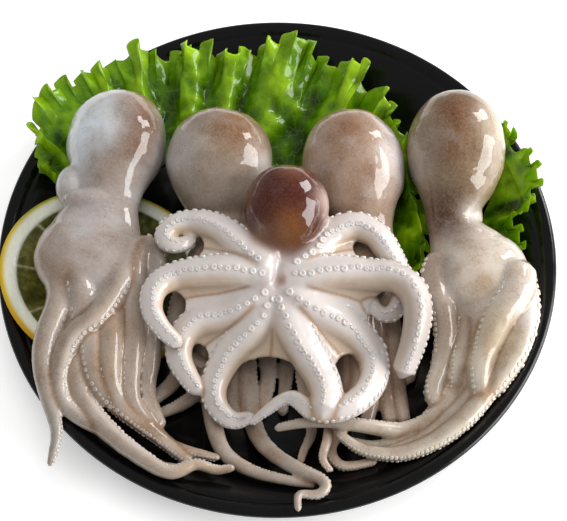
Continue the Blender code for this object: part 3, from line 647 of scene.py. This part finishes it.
def stations_of(octopus, tubes, skin):
    """every station as one table: point, radius, sucker direction, way along, kind, colours"""
    points, radii, orals, ways, kinds, backs, fronts = [], [], [], [], [], [], []
    for k, rows in enumerate(tubes):
        n = len(rows)
        if k == 0:
            share = np.linspace(0.0, 1.0, n)[:, None]
            back = skin["mantle"] + (skin["body"] - skin["mantle"]) * smoothstep(0.45, 0.62, share)
            front = back
            oral = np.tile([0.0, 0.0, -1.0], (n, 1))
            way = np.full(n, -1.0)
        else:
            roll = octopus["arms"][k - 1]["roll"]
            oral = frames(rows, roll)[1]
            way = np.linspace(0.0, 1.0, n)
            mix = smoothstep(0.02, 0.22, way)[:, None]
            back = skin["body"] + (skin["back"] - skin["body"]) * mix
            front = np.tile(skin["sucker"], (n, 1))
        points.append(rows[:, :3])
        radii.append(0.5 * (rows[:, 3] + rows[:, 4]))
        orals.append(oral)
        ways.append(way)
        kinds.append(np.full(n, k))
        backs.append(back)
        fronts.append(front)
    return [np.concatenate(x) for x in (points, radii, orals, ways, kinds, backs, fronts)]


# painted shade: how much each colour channel is darkened where two arms lie together
CREASE_SHADE = np.array([0.34, 0.50, 0.64])


def skin_values(co, table, skin):
    """for every point its colour, with painted shade where two arms lie together, its specks and its way
    along the arm
    """
    points, radii, orals, ways, kinds, backs, fronts = table
    colours = np.zeros((len(co), 3))
    specks = np.zeros(len(co))
    crease_shade = np.zeros(len(co))
    way = np.zeros(len(co))
    for start in range(0, len(co), 4000):
        part = co[start:start + 4000]
        away = part[:, None, :] - points[None]
        far = np.linalg.norm(away, axis=2)
        gap = far - radii[None]
        near = gap.min(axis=1, keepdims=True)
        weight = np.exp(-(gap - near) / 0.9)
        weight /= weight.sum(axis=1, keepdims=True)
        facing = np.einsum("ijk,jk->ij", away, orals) / np.maximum(far, 1e-6)
        sucker = smoothstep(-0.15, 0.65, facing) * (ways[None] >= 0.0)
        share = (weight * sucker).sum(axis=1)
        back = weight @ backs
        front = weight @ fronts
        colours[start:start + 4000] = back + (front - back) * share[:, None]
        specks[start:start + 4000] = skin["specks"] * (1.0 - 0.85 * share)
        way[start:start + 4000] = weight @ ways
        ranked = np.sort([gap[:, kinds == k].min(axis=1) for k in range(kinds.max() + 1)], axis=0)
        crease_shade[start:start + 4000] = np.exp(-((ranked[1] - ranked[0]) / 0.9) ** 2)
    # spots of another colour; some of them are painted highlights and painted lighter rims
    for x, y, z, radius, colour, strength in skin["patches_and_painted_light"]:
        d = np.linalg.norm((co - [x, y, z]) * [1.0, 1.0, 0.6], axis=1) / radius
        share = (strength * np.exp(-d ** 2.4))[:, None]
        colours = colours + (colour - colours) * share
    # painted shade: a warm darker line where two arms lie together
    crease_shade *= smoothstep(-0.05, 0.12, way)
    colours = colours * (1.0 - crease_shade[:, None] * CREASE_SHADE)
    return colours, specks, way


# one sucker: radius and height of its rings, from inside the skin to the cup's floor
SUCKER_RINGS = [(0.98, -0.50), (1.02, -0.06), (0.94, 0.16), (0.76, 0.27), (0.50, 0.24), (0.28, 0.14)]
SUCKER_FLOOR = 0.12
SUCKER_ANGLE = 40.0      # of each of the two rows from the middle of the sucker side


def sucker_spots(octopus, tubes, flat):
    """places for the suckers of all arms: point, outward direction, run, radius, way"""
    rng = np.random.default_rng(len(tubes[1]) + len(tubes[2]))
    spots = []
    trunk = tubes[0]
    for k, rows in enumerate(tubes[1:]):
        run, oral, across = frames(rows, octopus["arms"][k]["roll"])
        s = np.concatenate([[0.0], np.cumsum(np.linalg.norm(np.diff(rows[:, :3], axis=0), axis=1))])
        for row in (-1.0, 1.0):
            d = 3.0 + (0.0 if row < 0.0 else 0.9)
            while d < s[-1] - 0.4:
                i = int(np.interp(d, s, np.arange(len(s))))
                j = min(i + 1, len(s) - 1)
                f = (d - s[i]) / max(s[j] - s[i], 1e-6)
                middle = rows[i] * (1.0 - f) + rows[j] * f
                size = (0.26 + 0.13 * middle[3]) * rng.uniform(0.8, 1.2)
                turn = math.radians(SUCKER_ANGLE + rng.uniform(-5.0, 5.0)) * row
                lift = 1.0 - flat * math.exp(-(abs(turn) / 0.55) ** 2)
                out = oral[i] * math.cos(turn) + across[i] * math.sin(turn)
                point = middle[:3] + out * middle[3] * lift
                inside = np.linalg.norm((point - trunk[:, :3]), axis=1) < 0.9 * trunk[:, 4]
                if not inside.any():
                    spots.append((point, out, run[i], size, d / s[-1], k))
                d += size * 2.3
    return spots


def build_suckers(name, octopus, tubes, skin, material, sides):
    """all suckers of one octopus as one mesh of small cups"""
    flat = 0.16
    spots = sucker_spots(octopus, tubes, flat)
    arms = tubes[1:]
    kept = []
    for point, out, run, size, way, k in spots:
        buried = False
        for other, rows in enumerate(arms):
            if other != k:
                d = np.linalg.norm(rows[:, :3] - point, axis=1) - rows[:, 3]
                if d.min() < -0.7:
                    buried = True
                    break
        if not buried and point[2] > plate_top(math.hypot(point[0], point[1])) + 0.2:
            kept.append((point, out, run, size, way))
    a = np.linspace(0.0, 2.0 * math.pi, sides, endpoint=False)
    shape = [[r * math.cos(t), r * math.sin(t), h] for r, h in SUCKER_RINGS for t in a]
    shape = np.array(shape + [[0.0, 0.0, SUCKER_FLOOR]])
    rings = len(SUCKER_RINGS)
    quads = grid_faces(rings, sides, True)
    tris = [((rings - 1) * sides + j, (rings - 1) * sides + (j + 1) % sides, rings * sides)
            for j in range(sides)]
    depth = np.repeat([r for r, _ in SUCKER_RINGS], sides)
    # painted shade: the innermost ring and the floor of each cup are painted darker
    shade = np.concatenate([np.where(depth < 0.3, 0.95, 1.0), [0.90]])
    points, faces, colours = [], [], []
    for n, (point, out, run, size, way) in enumerate(kept):
        side = unit(np.cross(out, run))
        ahead = np.cross(side, out)
        basis = np.vstack([side, ahead, out]) * size
        points.append(shape @ basis + point)
        start = n * len(shape)
        faces += [tuple(q + start for q in f) for f in quads]
        faces += [tuple(q + start for q in f) for f in tris]
        light = skin["sucker"] * (1.04 - 0.10 * way)
        colours.append(shade[:, None] * light[None])
    mesh = make_mesh(name, np.vstack(points), faces)
    paint(mesh, np.vstack(colours), np.full(len(mesh.vertices), 0.05))
    obj = place(name, mesh, material)
    return obj


def build_skin(name, octopus, tubes, skin, material, voxel):
    """trunk, arms and webs fused into one smooth skin, with folds and colours"""
    parts = []
    for k, rows in enumerate(tubes):
        roll = (0.0, 0.0) if k == 0 else octopus["arms"][k - 1]["roll"]
        parts.append(tube(rows, roll, 40 if k == 0 else 20, 0.0 if k == 0 else 0.16))
    for shape in octopus.get("lobes", []):
        parts.append(lobe(*shape))
    for first, second, reach in octopus.get("webs", []):
        parts.append(web(tubes[1 + first], tubes[1 + second], reach))
    co, faces = joined(parts)
    mesh = evaluated(make_mesh(name + "_rough", co, faces), name, mode="VOXEL",
                     voxel_size=voxel * MM)
    co = points_of(mesh)
    edges = edges_of(mesh)
    table = stations_of(octopus, tubes, skin)
    colours, specks, way = skin_values(co, table, skin)
    # wide soft joints where arms leave the body, crisp tips
    root = smoothstep(-1.0, -0.8, way) * (1.0 - smoothstep(0.10, 0.34, way))
    co = relax(co, edges, 0.5, 8, 1.03)
    co = relax(co, edges, 0.5 * root, 10)
    set_points(mesh, co)
    normal = normals_of(mesh)
    big = noise_at(co, 9.0, 3.1) * np.where(way < 0.0, 0.45, 0.22)
    fine = noise_at(co, 2.6, 7.7) * np.where(way < 0.0, 0.07, 0.10)
    co = co + normal * (big + fine)[:, None]
    set_points(mesh, co)
    mesh.shade_smooth()
    paint(mesh, colours, specks)
    return place(name + "_skin", mesh, material, node=name)


# ---- lettuce ------------------------------------------------------------------
def leaf_limits(x, y, solids):
    """lowest and highest height of a leaf over the plate and below every octopus trunk"""
    r = math.hypot(x, y)
    low = float(plate_top(min(r, PLATE_R))) + LEAF_FLOOR
    if r > 92.0:
        low += 0.8
    high = 60.0
    for sx, sy, sz, along, across, height, ax, ay in solids:
        dx = x - sx
        dy = y - sy
        q = ((dx * ax + dy * ay) / (along + 2.0)) ** 2 + ((dy * ax - dx * ay) / (across + 2.0)) ** 2
        if q < 1.0:
            high = min(high, sz - height * math.sqrt(1.0 - q) - LEAF_CEILING)
    return low, max(high, low)


def along_edge(points, count):
    """points evenly spread along an open edge"""
    run = spline([(x, y, 0.0) for x, y in points], 0.8)[:, :2]
    s = np.concatenate([[0.0], np.cumsum(np.linalg.norm(np.diff(run, axis=0), axis=1))])
    t = np.linspace(0.0, s[-1], count)
    return np.column_stack([np.interp(t, s, run[:, 0]), np.interp(t, s, run[:, 1])])


def fold_at(leaf, t):
    """rise and fall across the folds, uneven in width and depth"""
    sway = 1.3 * np.sin(2.0 * math.pi * 2.3 * t + leaf["seed"])
    depth = 0.8 + 0.3 * np.sin(2.0 * math.pi * 1.7 * t + 2.0 * leaf["seed"])
    return depth * np.cos(2.0 * math.pi * leaf["pleats"] * t + sway)


def drift_at(t, v, rate, seed):
    """slow noise over the leaf's length and width, one value for each column"""
    return np.array([noise.noise(Vector((q * rate, v * 1.7, seed))) for q in t])


def build_leaf(name, leaf, solids, material):
    """a leaf with broad leaning folds, blistered between its ribs and ruffled at its edge"""
    n, m, seed = leaf["columns"], LEAF_ROWS, leaf["seed"]
    t = np.linspace(0.0, 1.0, n)
    inner = along_edge(leaf["inner"], n)
    outer = along_edge(leaf["outer"], n)
    out = unit(outer - inner)
    along = np.column_stack([out[:, 1], -out[:, 0]])
    long = float(np.sum(np.linalg.norm(np.diff(outer, axis=0), axis=1)))
    top = np.zeros((m, n, 3))
    tint = np.zeros((m, n, 3))
    hollow_shade_green, mid, lime = rgb(24, 50, 0), rgb(84, 130, 0), rgb(158, 198, 14)
    lobes = drift_at(t, 0.0, long / 11.0, seed + 1.5)
    notch = drift_at(t, 0.0, long / 3.4, seed + 9.5)
    teeth = drift_at(t, 0.0, long / 1.2, seed + 12.5)
    for j in range(m):
        v = j / (m - 1)
        edge = smoothstep(0.62, 1.0, v)
        tip = smoothstep(0.84, 1.0, v)
        meander = 0.05 * drift_at(t, v, long / 22.0, seed + 3.0) * v
        wave = fold_at(leaf, t + meander)
        small = drift_at(t, v * 3.0, long / 9.0, seed + 6.0)
        frill = 2.0 * math.pi * leaf["frills"] * t + 3.0 * drift_at(t, v * 0.6, long / 14.0, seed)
        reach = v + tip * (0.07 * lobes + 0.035 * notch + 0.012 * teeth)
        base = inner + (outer - inner) * reach[:, None] + out * (1.2 * v * wave)[:, None]
        base = base + along * (1.2 * smoothstep(0.1, 0.6, v) * wave)[:, None]
        base = base + out * (edge * 1.3 * np.cos(frill))[:, None]
        base = base + along * (edge * 1.5 * np.sin(2.0 * frill))[:, None]
        level = 5.4 + (leaf["lift"] - 5.4) * v ** 1.3
        z = level + 4.2 * smoothstep(0.0, 0.35, v) * wave + 1.5 * small * smoothstep(0.1, 0.5, v)
        z = z + edge * 2.4 * np.sin(frill) + tip * (1.6 * notch + 0.6 * teeth)
        for i in range(n):
            x, y = base[i]
            blister = noise.noise(Vector((x / 6.0, y / 6.0, seed))) * 1.7
            blister += noise.noise(Vector((x / 2.6, y / 2.6, seed + 5.0))) * 0.6
            low, high = leaf_limits(x, y, solids)
            height = z[i] + blister
            # eased against the plate, so that the leaf doesn't lie flat on it
            height = low + math.log1p(math.exp(min(2.0 * (height - low), 40.0))) / 2.0
            height = min(height, high)
            top[j, i] = (x, y, height)
            # painted shade and light: the colour is dark green in the fold hollows and lime on the
            # raised crests and blister tops, as painted shade and painted highlight; the lime towards
            # the tip is the leaf's own paler edge
            lit = 0.46 + 0.36 * wave[i] + 0.25 * small[i] + 0.22 * blister
            shade = hollow_shade_green + (mid - hollow_shade_green) * smoothstep(-0.1, 0.6, lit + 0.5 * edge)
            shade = shade + (lime - shade) * (0.65 * smoothstep(0.35, 0.95, lit) + 0.35 * tip)
            tint[j, i] = shade * (1.0 + 0.16 * blister)
    # thickness straight down, closed round the border
    low = top - [0.0, 0.0, LEAF_T]
    faces = [tuple(f) for f in grid_faces(m, n, False)]
    faces = [tuple(reversed(f)) for f in faces]
    faces += [tuple(q + n * m for q in reversed(f)) for f in faces]
    rim = list(range(n)) + [j * n + n - 1 for j in range(1, m)]
    rim += [(m - 1) * n + i for i in range(n - 2, -1, -1)] + [j * n for j in range(m - 2, 0, -1)]
    for p, q in zip(rim, rim[1:] + rim[:1]):
        faces.append((p, q, q + n * m, p + n * m))
    mesh = make_mesh(name + "_leaf", np.vstack([top.reshape(-1, 3), low.reshape(-1, 3)]), faces)
    colours = np.vstack([tint.reshape(-1, 3)] * 2)
    paint(mesh, colours, np.ones(len(colours)))
    return place(name + "_leaf", mesh, material, node=name)


# ---- lemon --------------------------------------------------------------------
def build_lemon(material):
    """the slice: yellow rind, white pith, wet pulp in segments, soft and bent up the wall"""
    count = 220
    radii = np.concatenate([np.linspace(0.6, 29.8, 30), [30.3, 30.8, 31.6, 32.8, 34.0, 34.8,
                                                         35.3, 35.9, 36.3, 36.5]])
    a = np.linspace(0.0, 2.0 * math.pi, count, endpoint=False)
    pulp, juice = rgb(112, 108, 44), rgb(62, 64, 22)
    white, cream = rgb(238, 238, 222), rgb(214, 210, 160)
    yellow, green, orange = rgb(214, 178, 30), rgb(150, 158, 40), rgb(206, 150, 14)
    rows, tints = [], []
    for side in (0, 1):
        for r in (radii if side == 0 else radii[::-1]):
            x = LEMON_X + r * np.cos(a)
            y = LEMON_Y + r * np.sin(a)
            z = lemon_top(x, y)
            share = (a / (2.0 * math.pi) * SEGMENTS) % 1.0
            wall = np.exp(-((np.minimum(share, 1.0 - share) * r * 2.0 * math.pi / SEGMENTS) / 0.45) ** 2)
            wall = np.maximum(wall, math.exp(-((r - 0.6) / 1.6) ** 2))
            inside = 1.0 - smoothstep(PITH_FROM - 0.4, PITH_FROM + 0.4, r)
            bump = np.array([noise.noise(Vector((q * 9.0, r / 6.0, side * 3.0))) for q in a])
            sink = inside * (1.0 - wall) * (0.55 + 0.35 * bump)
            if side == 0:
                z = z - sink - 1.3 * smoothstep(RIND_FROM, LEMON_R, r) ** 2
            else:
                z = z - LEMON_T + 0.4 * inside + 1.3 * smoothstep(RIND_FROM, LEMON_R, r) ** 2
            rows.append(np.column_stack([x, y, z]))
            flesh = pulp + (juice - pulp) * smoothstep(-0.5, 0.5, bump)[:, None]
            flesh = flesh + (cream - flesh) * (0.65 * wall)[:, None]
            rind = yellow + (green - yellow) * smoothstep(0.55, 1.0, np.sin(a - 0.35))[:, None]
            rind = rind + (orange - rind) * smoothstep(0.5, 1.0, -np.sin(a + 0.3))[:, None]
            pale = white + (cream - white) * smoothstep(33.6, 34.9, r)
            outer = pale + (rind - pale) * smoothstep(RIND_FROM - 0.3, RIND_FROM + 0.5, r)
            tints.append(outer + (flesh - outer) * inside)
    co = np.vstack(rows)
    n = len(rows)
    middle = float(lemon_top(LEMON_X, LEMON_Y))
    faces = [tuple(f) for f in grid_faces(n, count, True)]
    co = np.vstack([co, [LEMON_X, LEMON_Y, middle], [LEMON_X, LEMON_Y, middle - LEMON_T]])
    for i in range(count):
        k = (i + 1) % count
        faces.append((i, n * count, k))
        faces.append(((n - 1) * count + i, (n - 1) * count + k, n * count + 1))
    mesh = make_mesh("lemon", co, faces)
    r = np.hypot(co[:, 0] - LEMON_X, co[:, 1] - LEMON_Y)
    paint(mesh, np.vstack(tints + [cream[None], cream[None]]),
          1.0 - smoothstep(PITH_FROM - 0.4, PITH_FROM + 0.4, r))
    return place("lemon", mesh, material, node="lemon_slice")


# ---- plate --------------------------------------------------------------------
def build_plate(material):
    """the coupe plate turned from its whole profile"""
    count = 200
    a = np.linspace(0.0, 2.0 * math.pi, count, endpoint=False)
    profile = PLATE_PROFILE[1:-1]
    co = [np.column_stack([r * np.cos(a), r * np.sin(a), np.full(count, z)]) for r, z in profile]
    n = len(co)
    faces = [tuple(f) for f in grid_faces(n, count, True)]
    for i in range(count):
        k = (i + 1) % count
        faces.append((i, n * count, k))
        faces.append(((n - 1) * count + i, (n - 1) * count + k, n * count + 1))
    points = np.vstack(co + [[[0.0, 0.0, PLATE_PROFILE[0][1]]], [[0.0, 0.0, PLATE_PROFILE[-1][1]]]])
    mesh = make_mesh("plate_glazed", points, faces)
    return place("plate_glazed", mesh, material, node="plate")


# ---- materials ----------------------------------------------------------------
class Shader:
    """a material's node tree, with one short call for each kind of node that is used here"""

    def __init__(self, name):
        self.material = bpy.data.materials.new(name)
        self.material.use_nodes = True
        self.tree = self.material.node_tree
        self.surface = self.tree.nodes["Principled BSDF"]
        self.object = self.add("ShaderNodeTexCoord").outputs["Object"]

    def add(self, kind, settings=None, **inputs):
        node = self.tree.nodes.new(kind)
        for key, value in (settings or {}).items():
            setattr(node, key, value)
        for key, value in inputs.items():
            self.put(node.inputs[key.replace("_", " ")], value)
        return node

    def put(self, socket, value):
        if isinstance(value, bpy.types.NodeSocket):
            self.tree.links.new(value, socket)
        elif isinstance(value, (tuple, list, np.ndarray)) and len(value) == 3 and len(
                socket.default_value) == 4:
            socket.default_value = (*value, 1.0)
        else:
            socket.default_value = value

    def set(self, **inputs):
        for key, value in inputs.items():
            self.put(self.surface.inputs[key.replace("_", " ")], value)

    def noise(self, size, detail=2.0, vector=None, distortion=0.0):
        """0 to 1, in blots about size millimetres wide"""
        node = self.add("ShaderNodeTexNoise", Scale=1.0 / (size * MM), Detail=detail,
                        Distortion=distortion)
        self.put(node.inputs["Vector"], vector or self.object)
        return node.outputs["Fac"]

    def cells(self, size, feature, vector=None):
        node = self.add("ShaderNodeTexVoronoi", {"feature": feature}, Scale=1.0 / (size * MM))
        self.put(node.inputs["Vector"], vector or self.object)
        return node

    def span(self, value, low, high, to_low=0.0, to_high=1.0):
        node = self.add("ShaderNodeMapRange")
        for key, number in zip(range(5), (value, low, high, to_low, to_high)):
            self.put(node.inputs[key], number)
        return node.outputs[0]

    def math(self, operation, one, two=0.0):
        node = self.add("ShaderNodeMath", {"operation": operation})
        self.put(node.inputs[0], one)
        self.put(node.inputs[1], two)
        return node.outputs[0]

    def mix(self, share, one, two, blend="MIX"):
        node = self.add("ShaderNodeMix", {"data_type": "RGBA", "blend_type": blend})
        self.put(node.inputs[0], share)
        self.put(node.inputs[6], one)
        self.put(node.inputs[7], two)
        return node.outputs[2]

    def warped(self, size, amount):
        """object coordinates shifted by noise, for lines that wander"""
        node = self.add("ShaderNodeTexNoise", Scale=1.0 / (size * MM), Detail=1.0)
        self.put(node.inputs["Vector"], self.object)
        moved = self.add("ShaderNodeVectorMath", {"operation": "MULTIPLY_ADD"})
        self.put(moved.inputs[0], node.outputs["Color"])
        moved.inputs[1].default_value = (amount * MM,) * 3
        self.put(moved.inputs[2], self.object)
        return moved.outputs[0]

    def bump(self, height, depth, strength=1.0, below=None):
        node = self.add("ShaderNodeBump", Strength=strength, Distance=depth * MM, Height=height)
        if below is not None:
            self.put(node.inputs["Normal"], below)
        return node.outputs["Normal"]

    def tint(self):
        node = self.add("ShaderNodeAttribute", {"attribute_name": "tint"})
        return node.outputs["Color"], node.outputs["Alpha"]


def skin_material():
    """wet raw skin: pale flesh below, brown clouds, fine dark specks and a net of thin veins"""
    s = Shader("octopus_skin")
    tint, specks = s.tint()
    cloud = s.noise(8.0, 4.0)
    grain = s.noise(0.9, 2.0)
    net = s.cells(2.2, "DISTANCE_TO_EDGE", s.warped(1.6, 2.4)).outputs["Distance"]
    vein = s.math("MULTIPLY", s.span(net, 0.07, 0.0), s.span(cloud, 0.44, 0.62))
    dots = s.cells(0.62, "F1").outputs["Distance"]
    dot = s.math("MULTIPLY", s.span(dots, 0.36, 0.12), s.span(s.noise(4.5, 3.0), 0.42, 0.62))
    marks = s.math("MULTIPLY", s.math("MAXIMUM", s.math("MULTIPLY", vein, 0.5), dot), specks)
    brown = s.mix(1.0, tint, rgb(212, 186, 152), "MULTIPLY")
    cloudy = s.mix(s.math("MULTIPLY", specks, s.span(cloud, 0.36, 0.72, 0.0, 0.75)), tint, brown)
    milk = s.span(s.noise(9.0, 3.0), 0.55, 0.78, 0.0, 0.30)
    pale = s.mix(s.math("MULTIPLY", specks, milk), cloudy, rgb(208, 204, 202))
    colour = s.mix(s.math("MULTIPLY", marks, 0.80), pale, rgb(58, 44, 36))
    light = s.math("MULTIPLY", s.span(grain, 0.40, 0.72, 0.0, 0.08), s.span(specks, 0.0, 0.5))
    colour = s.mix(light, colour, rgb(236, 230, 226))
    fine = s.bump(grain, 0.05, 0.35)
    folds = s.bump(s.noise(4.0, 2.0, distortion=0.6), 0.30, 0.30, fine)
    s.set(Base_Color=colour, Roughness=0.36, Specular_IOR_Level=0.10, Normal=folds, IOR=1.40,
          Coat_Weight=1.0, Coat_Roughness=0.035, Coat_IOR=1.52, Subsurface_Weight=0.25,
          Subsurface_Radius=(1.0, 0.66, 0.48), Subsurface_Scale=0.0022)
    return s.material


def sucker_material():
    """pale cups, as wet as the skin round them"""
    s = Shader("octopus_suckers")
    tint, _ = s.tint()
    grain = s.noise(0.9, 2.0)
    colour = s.mix(s.span(grain, 0.3, 0.75, 0.0, 0.15), tint, rgb(190, 172, 160))
    s.set(Base_Color=colour, Roughness=0.34, Specular_IOR_Level=0.35, Normal=s.bump(grain, 0.05, 0.5),
          IOR=1.40, Coat_Weight=0.8, Coat_Roughness=0.06, Subsurface_Weight=0.4,
          Subsurface_Radius=(1.0, 0.6, 0.4), Subsurface_Scale=0.002)
    return s.material


def leaf_material():
    """wet lettuce: glossy soft blisters, faint veins, painted shade in the hollows"""
    s = Shader("lettuce_leaf")
    tint, _ = s.tint()
    net = s.cells(5.0, "DISTANCE_TO_EDGE", s.warped(4.0, 4.0)).outputs["Distance"]
    vein = s.span(net, 0.06, 0.0)
    colour = s.mix(s.math("MULTIPLY", vein, 0.14), tint, rgb(170, 204, 70))
    colour = s.mix(s.span(s.noise(6.0, 3.0), 0.35, 0.7, 0.0, 0.30), colour,
                   s.mix(1.0, colour, rgb(150, 176, 80), "MULTIPLY"))
    low = s.bump(net, 0.7, 0.5)
    high = s.bump(s.noise(2.4, 3.0), 0.55, 0.6, low)
    s.set(Base_Color=colour, Roughness=0.42, Specular_IOR_Level=0.15, Normal=high, IOR=1.42,
          Coat_Weight=0.75, Coat_Roughness=0.09, Subsurface_Weight=0.15,
          Subsurface_Radius=(0.4, 1.0, 0.1), Subsurface_Scale=0.0012)
    return s.material


def lemon_material():
    """pitted rind, matt pith and glassy pulp"""
    s = Shader("lemon_flesh")
    tint, pulp = s.tint()
    sacs = s.cells(2.0, "F1", s.warped(3.0, 2.0)).outputs["Distance"]
    colour = s.mix(s.math("MULTIPLY", pulp, s.span(sacs, 0.2, 0.8, 0.0, 0.5)), tint,
                   rgb(40, 44, 14))
    pores = s.cells(1.1, "F1").outputs["Distance"]
    rough = s.span(pulp, 0.0, 1.0, 0.42, 0.14)
    skin = s.bump(pores, 0.18, 0.5)
    s.set(Base_Color=colour, Roughness=rough, Normal=s.bump(sacs, 0.5, 0.5, skin), IOR=1.38,
          Coat_Weight=0.35, Coat_Roughness=0.08, Subsurface_Weight=0.15,
          Subsurface_Radius=(1.0, 0.9, 0.3), Subsurface_Scale=0.002)
    return s.material


def glaze_material():
    """black glaze with a faint orange peel, fine specks and fine scuffs over the whole plate"""
    s = Shader("black_glaze")
    speck = s.cells(1.6, "F1").outputs["Distance"]
    dust = s.math("MULTIPLY", s.span(speck, 0.12, 0.04), s.span(s.noise(9.0, 2.0), 0.56, 0.66))
    colour = s.mix(s.math("MULTIPLY", dust, 0.3), rgb(5, 5, 6), rgb(46, 48, 52))
    peel = s.bump(s.noise(2.2, 2.0), 0.05, 0.35)
    s.set(Base_Color=colour, Roughness=s.span(s.noise(7.0, 3.0), 0.3, 0.7, 0.14, 0.26),
          Specular_IOR_Level=0.42, Normal=s.bump(s.noise(0.8, 2.0), 0.03, 0.5, peel), IOR=1.48)
    return s.material


# ---- the stage ----------------------------------------------------------------
FLOOR_HALF = 3.0
VIEW_TARGET = Vector((0.0022, -0.0041, 0.018))
VIEW_ELEVATION = 62.5
VIEW_DISTANCE = 0.5755
VIEW_FIELD = 20.0
WORLD_STRENGTH = 0.28


def floor_material():
    s = Shader("pale_floor")
    s.set(Base_Color=s.mix(s.noise(300.0, 2.0), rgb(246, 246, 246), rgb(250, 250, 249)),
          Roughness=0.9, Specular_IOR_Level=0.1, Emission_Color=(1.0, 1.0, 1.0),
          Emission_Strength=0.35)
    return s.material


def area_light(name, position, aim, width, height, power):
    """a soft rectangular lamp, in metres and watts, turned towards aim"""
    data = bpy.data.lights.new(name, "AREA")
    data.shape = "RECTANGLE"
    data.size = width
    data.size_y = height
    data.energy = power
    lamp = bpy.data.objects.new(name, data)
    bpy.context.scene.collection.objects.link(lamp)
    lamp.location = position
    lamp.rotation_euler = (Vector(aim) - Vector(position)).to_track_quat("-Z", "Y").to_euler()
    return lamp


def build_stage():
    scene = bpy.context.scene
    mesh = make_mesh("floor", np.array([(-1, -1, 0), (1, -1, 0), (1, 1, 0), (-1, 1, 0)])
                     * FLOOR_HALF / MM - [0.0, 0.0, 0.1], [(0, 1, 2, 3)])
    mesh.materials.append(floor_material())
    floor = bpy.data.objects.new("floor", mesh)
    scene.collection.objects.link(floor)

    world = bpy.data.worlds.new("studio")
    scene.world = world
    world.use_nodes = True
    world.node_tree.nodes["Background"].inputs["Color"].default_value = (1.0, 1.0, 1.0, 1.0)
    world.node_tree.nodes["Background"].inputs["Strength"].default_value = WORLD_STRENGTH

    centre = (0.0, 0.0, 0.03)
    overhead = area_light("overhead", (-0.1, 0.1, 1.2), centre, 1.1, 1.1, 8.0)
    overhead.visible_glossy = False
    # a tall window beside the table, in two panes, gives the long highlights on the right
    area_light("window_front", (0.80, -0.12, 0.32), centre, 0.75, 0.52, 9.0)
    area_light("window_back", (0.62, 0.52, 0.42), centre, 0.20, 0.40, 2.4)

    data = bpy.data.cameras.new("camera")
    data.sensor_fit = "HORIZONTAL"
    data.sensor_width = 36.0
    data.lens = 18.0 / math.tan(math.radians(VIEW_FIELD / 2.0))
    data.clip_start = 0.01
    data.clip_end = 20.0
    camera = bpy.data.objects.new("camera", data)
    scene.collection.objects.link(camera)
    e = math.radians(VIEW_ELEVATION)
    back = Vector((0.0, -math.cos(e), math.sin(e)))
    camera.location = VIEW_TARGET + back * VIEW_DISTANCE
    camera.rotation_euler = (-back).to_track_quat("-Z", "Y").to_euler()
    scene.camera = camera
    scene.view_settings.view_transform = "Standard"


def main():
    skin = skin_material()
    cup = sucker_material()
    build_plate(glaze_material())
    build_lemon(lemon_material())
    solids = []
    for _, octopus in OCTOPUSES:
        solids += trunk_solids(octopus)
    leaf = leaf_material()
    for name, shape in LETTUCE:
        build_leaf(name, shape, solids, leaf)
    laid = lay_all()
    for name, octopus in OCTOPUSES:
        tubes = [laid[name][0]] + [soften(rows) for rows in laid[name][1:]]
        centre = name == "octopus_centre"
        voxel = 0.62 if centre else 0.72
        build_skin(name, octopus, tubes, SKINS[name], skin, voxel)
        build_suckers(name + "_suckers", octopus, tubes, SKINS[name], cup, 9 if centre else 7)
    build_stage()


main()
